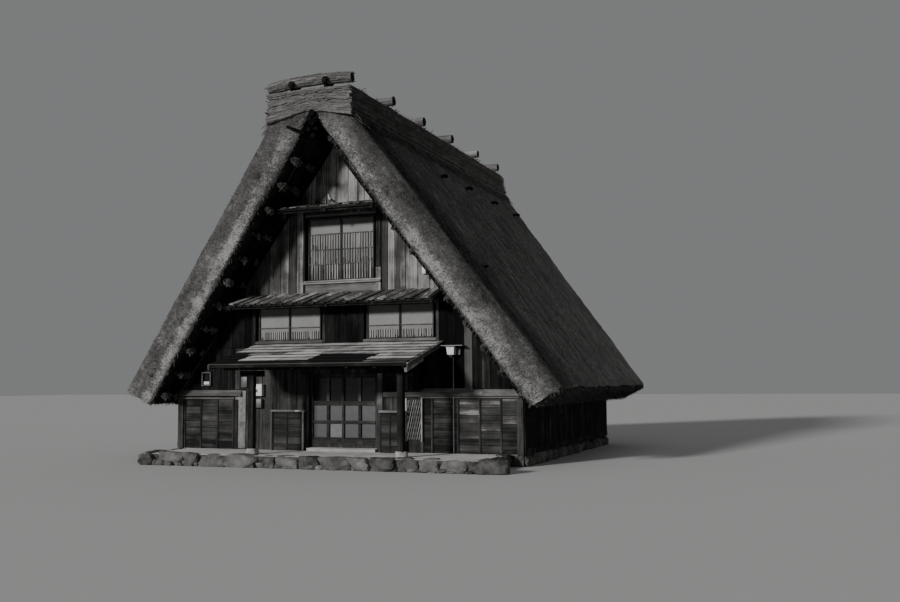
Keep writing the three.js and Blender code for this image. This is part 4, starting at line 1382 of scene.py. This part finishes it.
# Doors
def door_trim(side, x0, y0):
    """Glazing beads, kick boards and the panes of one sliding leaf."""
    body = f"{side}_door"
    x1, middle = x0 + 0.94, x0 + 0.47
    beads, face = Batch(170), y0 - 0.004

    def bead(left, right, low, high, tone, outer=face, inner=y0 + 0.004):
        beads.block((left, outer, low), (right, inner, high), tone)

    for k in range(5):
        first = x0 + 0.06 + (0.82 / 5) * k
        bead(first + 0.002, first + 0.162, 0.40, 0.545, (0.1, 0.5))
    for z, half in ((0.565, 0.022), (0.95, 0.036), (1.40, 0.050), (2.009, 0.012)):
        bead(x0 + 0.05, x1 - 0.05, z - half, z + half, (0.3, 0.6))
    for low, high, tone in ((0.56, 1.40, 0.2), (1.40, 2.01, 1.2)):
        bead(middle - 0.036, middle + 0.036, low, high, tone, face + 0.002, y0 + 0.005)
    for x in (x0 + 0.055, x1 - 0.055):
        bead(x - 0.007, x + 0.007, 0.56, 2.01, 0.6)
    pull = x1 - 0.028 if side == "left" else x0 + 0.028
    bead(pull - 0.012, pull + 0.012, 1.06, 1.20, -0.2)
    beads.done(f"door_{side}_beads", "sash_rail_wood", "sash_wood", body)
    back = y0 + 0.0333
    for kind in ("frosted", "dark", "bright") if side == "left" else ("frosted", "dark"):
        panes = Batch(171)
        for low, high in ((0.535, 0.95), (0.95, 1.39), (1.39, 2.034)):
            for first, last in ((x0 + 0.03, middle), (middle, x1 - 0.03)):
                lit = side == "left" and low == 0.535 and first == middle
                if kind == ("dark" if low == 1.39 else "bright" if lit else "frosted"):
                    panes.block((first, back, low), (last, back + 0.004, high))
        piece = panes.done(f"door_{side}_{kind}_panes", f"{kind}_pane", "window_pane", body)
        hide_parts(f"door_{side}_panes")


# Fittings on the front
def folding_gate():
    """Two layers of crossing slats, folded almost shut."""
    bars = Batch(180)
    left, right, low, high, step = 1.77, 2.13, 0.57, 1.48, 0.24
    slope = step / 0.057
    for way, tone in ((-1, (-0.3, 0.0)), (1, (0.4, 0.9))):
        y = FRONT - (0.076 if way > 0 else 0.066)
        z = low - (right - left) * slope
        while z < high:
            first = max(left, left + (low - z) / slope)
            last = min(right, left + (high - z) / slope)
            if last - first > 0.02:
                points = []
                for x in (first, last):
                    place = x if way > 0 else left + right - x
                    points.append((place, y, z + (x - left) * slope))
                bars.bar(*points, (1, 0, 0), 0.014, 0.006, tone)
            z += step
    for x in (1.755, 2.145):
        bars.fix("front", (x - 0.014, x + 0.014, 0.53, 1.52, 0.085, 0.01, 0.8))
    piece = bars.done("folding_gate_lattice", "pale_timber_upright", "pale_timber")
    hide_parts("folding_gate")


def wall_lamp():
    """A white lamp on its pipe, under a flat hood."""
    x, y = 2.92, FRONT - 0.16
    pipe, hood, glass = Batch(181), Batch(187), Batch(182)
    pipe.pole((x, FRONT - 0.045, FRAME_FOOT), (x, FRONT - 0.045, 2.54), 0.013, sides=10, tone=0.5)
    pipe.pole((x, FRONT - 0.02, 2.52), (x, y, 2.52), 0.012, sides=10)
    pipe.block((2.70, y - 0.11, 2.700), (3.22, FRONT - 0.01, 2.714))
    pipe.done("lamp_pipe_and_hood", "grey_enamel", "enamel", smooth=35)
    for z in (0.7, 1.3, 1.9, 2.3):
        hood.on("front", (x - 0.028, x + 0.028), (z, z + 0.02), (0.0, 0.062))
    hood.block((x - 0.12, y - 0.10, 2.668), (x + 0.12, y + 0.10, 2.699))
    hood.pole((x, y, 2.44), (x, y, 2.50), 0.05, 0.07, sides=12)
    hood.block((x + 0.09, FRONT - 0.10, 2.50), (x + 0.19, FRONT - 0.002, 2.66))
    hood.done("lamp_ironwork", "dark_iron", "enamel", smooth=35)
    cone(glass.room(), 0.105, 0.130, 4, 0.165, spot(x, y, 2.583, turn=math.pi / 4))
    piece = glass.done("lamp_glass_box", "lamp_glass", "enamel")
    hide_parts("wall_lamp")


def rounded_case(x0, x1, z0, z1, proud, bevel=0.012):
    bm = bmesh.new()
    cube(bm, box_place(Vector((x0, FRONT - proud, z0)), Vector((x1, FRONT - 0.001, z1))))
    soften_edges(bm, bm.edges[:], bevel)
    return ready(bm)


def wall_boxes():
    """The meter box and its neighbours, the vent, and the cable holders above."""
    white, dull, dark, high = Batch(183), Batch(184), Batch(185), Batch(186)
    for batch, *sizes in (
        (white, -2.36, -2.06, 1.57, 1.84, 0.14), (white, -2.37, -2.05, 1.835, 1.86, 0.155, 0.006),
        (dull, -2.69, -2.52, 1.78, 2.05, 0.08, 0.008), (dull, -2.33, -2.08, 1.28, 1.50, 0.12),
        (dull, -2.30, -2.17, 1.66, 1.74, 0.146, 0.005), (high, 2.17, 2.26, 4.39, 4.56, 0.09, 0.01),
    ):
        batch.stamp(rounded_case(*sizes), STAY, spent=True)
    for x, z0, z1, radius in (
        (-2.30, 1.88, 2.45, 0.011), (-2.12, 1.88, 2.45, 0.011), (-2.60, 1.88, 2.45, 0.011),
        (-2.2, 0.3, 1.3, 0.014),
    ):
        dark.pole((x, FRONT - 0.03, z0), (x, FRONT - 0.03, z1), radius, sides=8)
    dark.fix(
        "front", (-3.85, -3.82, 1.82, 2.16, 0.0, 0.07), (-3.61, -3.58, 1.82, 2.16, 0.0, 0.07),
        (-3.85, -3.58, 1.82, 1.85, 0.0, 0.08), (-3.85, -3.58, 2.14, 2.17, 0.0, 0.08),
    )
    white.fix("front", (-3.79, -3.64, 1.86, 1.93, 0.0, 0.05))
    piece = white.done("meter_case", "white_enamel", "enamel", smooth=35)
    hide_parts("meter_box")
    dull.done("meter_base", "dull_enamel", "enamel", smooth=35)
    high.pole((-0.28, FRONT - 0.02, 6.34), (-0.20, FRONT - 0.16, 6.30), 0.03, 0.02, 8)
    high.pole((-0.30, FRONT - 0.03, 6.44), (-0.27, FRONT - 0.05, 6.32), 0.014, None, 8)
    high.done("cable_holders", "white_enamel", "enamel", smooth=35)
    for z in (6.20 + 0.035 * k for k in range(4)):
        dark.fix("front", (-0.63, -0.38, z, z + 0.012, 0.0, 0.045))
    for x in (-0.65, -0.38):
        dark.fix("front", (x, x + 0.02, 6.17, 6.34, 0.0, 0.05))
    dark.done("small_ironwork", "dark_iron", "enamel", smooth=35)


# Stones
def stones():
    """Field stones along the terrace and under the walls."""
    batch = Batch(190)
    luck = batch.luck
    small, long_way = (0.17, 0.22), (0.28, 0.38)
    for at, stop, fixed, upright, sizes, heights, depth, loose in (
        (-4.25, 4.0, -6.05, False, (0.38, 1.0), (0.25, 0.30), (0.28, 0.42), 0.03),
        (-4.1, 4.0, -6.12, False, (0.10, 0.32), (0.05, 0.13), (0.12, 0.2), 0.03),
        (-6.05, -4.4, -4.22, True, (0.30, 0.6), (0.24, 0.29), long_way, 0.03),
        (-6.1, -4.4, 4.14, True, (0.30, 0.6), (0.24, 0.29), long_way, 0.03),
        (-4.2, 4.0, -4.55, True, (0.3, 0.75), (0.20, 0.27), small, 0.01),
        (-4.2, 4.0, 4.55, True, (0.3, 0.75), (0.20, 0.27), small, 0.01),
        (-4.5, 4.3, 4.24, False, (0.3, 0.75), (0.20, 0.27), small, 0.01),
    ):
        while at < stop:
            long, tall, deep = (luck.uniform(*span) for span in (sizes, heights, depth))
            middle = at + long / 2
            off = fixed + luck.uniform(-loose, loose)
            where, size = (middle, off), (long, deep)
            if upright:
                where, size = (off, middle), (deep, long)
            place = spot(*where, 0, turn=luck.uniform(-0.15, 0.15))
            batch.stamp(rock(*size, tall, luck.random()), place, (0, 1), spent=True)
            at += long * luck.uniform(0.86, 1.0)
    batch.done("edging_stones", "edging_stone", "stone", smooth=40)


aim_camera()
light_studio()
for task in (thatch_slope, loose_ends):
    task("right", 1)
    task("left", -1)
ridge_cap()
cap_stems()
ridge_poles()
ridge_logs()
slope_pegs()
roof_timbers("right", 1)
roof_timbers("left", -1)
lashings()
for gable in ("front", "back"):
    gable_boards(gable)
    window_trim(gable)
    window_bars(gable)
    window_screens(gable)
    pent_roof(gable, "middle_pent", -2.780, 2.650, 4.023, 3.760, 0.594, 18, 0.30)
    pent_roof(gable, "top_pent", -1.290, 1.240, 6.190, 6.001, 0.759, 9)
porch()
front_boards()
front_trim()
side_boards()
door_trim("right", 0.054, -4.216)
door_trim("left", -0.809, -4.171)
folding_gate()
wall_lamp()
wall_boxes()
stones()

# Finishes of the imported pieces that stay
for finish, names in (
    ("trodden_earth", "stone_base"),
    ("wall_behind_boards", "front_wall_left front_wall_right door_lintel back_wall"),
    ("wall_behind_boards", "side_wall_left side_wall_right front_upper_wall back_upper_wall"),
    ("wall_behind_boards", "front_top_wall back_top_wall front_gable_peak back_gable_peak"),
    ("sash_wood", "front_top_window back_top_window"),
    ("floor_plank", "upper_floor loft_floor"),
    # Pent and porch roofs and the porch frame take near-black timber: painted shade on their
    # shaded undersides.
    ("smoked_timber_deep", "front_middle_pent_roof front_top_pent_roof porch_roof porch_frame"),
    ("smoked_timber_deep", "back_middle_pent_roof back_top_pent_roof"),
    ("threshold_wood", "door_threshold"),
    ("door_wood", "door_right door_left"),
):
    for name in names.split():
        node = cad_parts[name]
        if not node.material_slots:
            node.data.materials.append(looks[finish])
        for slot in node.material_slots:
            slot.material = looks[finish]
lay_floor()
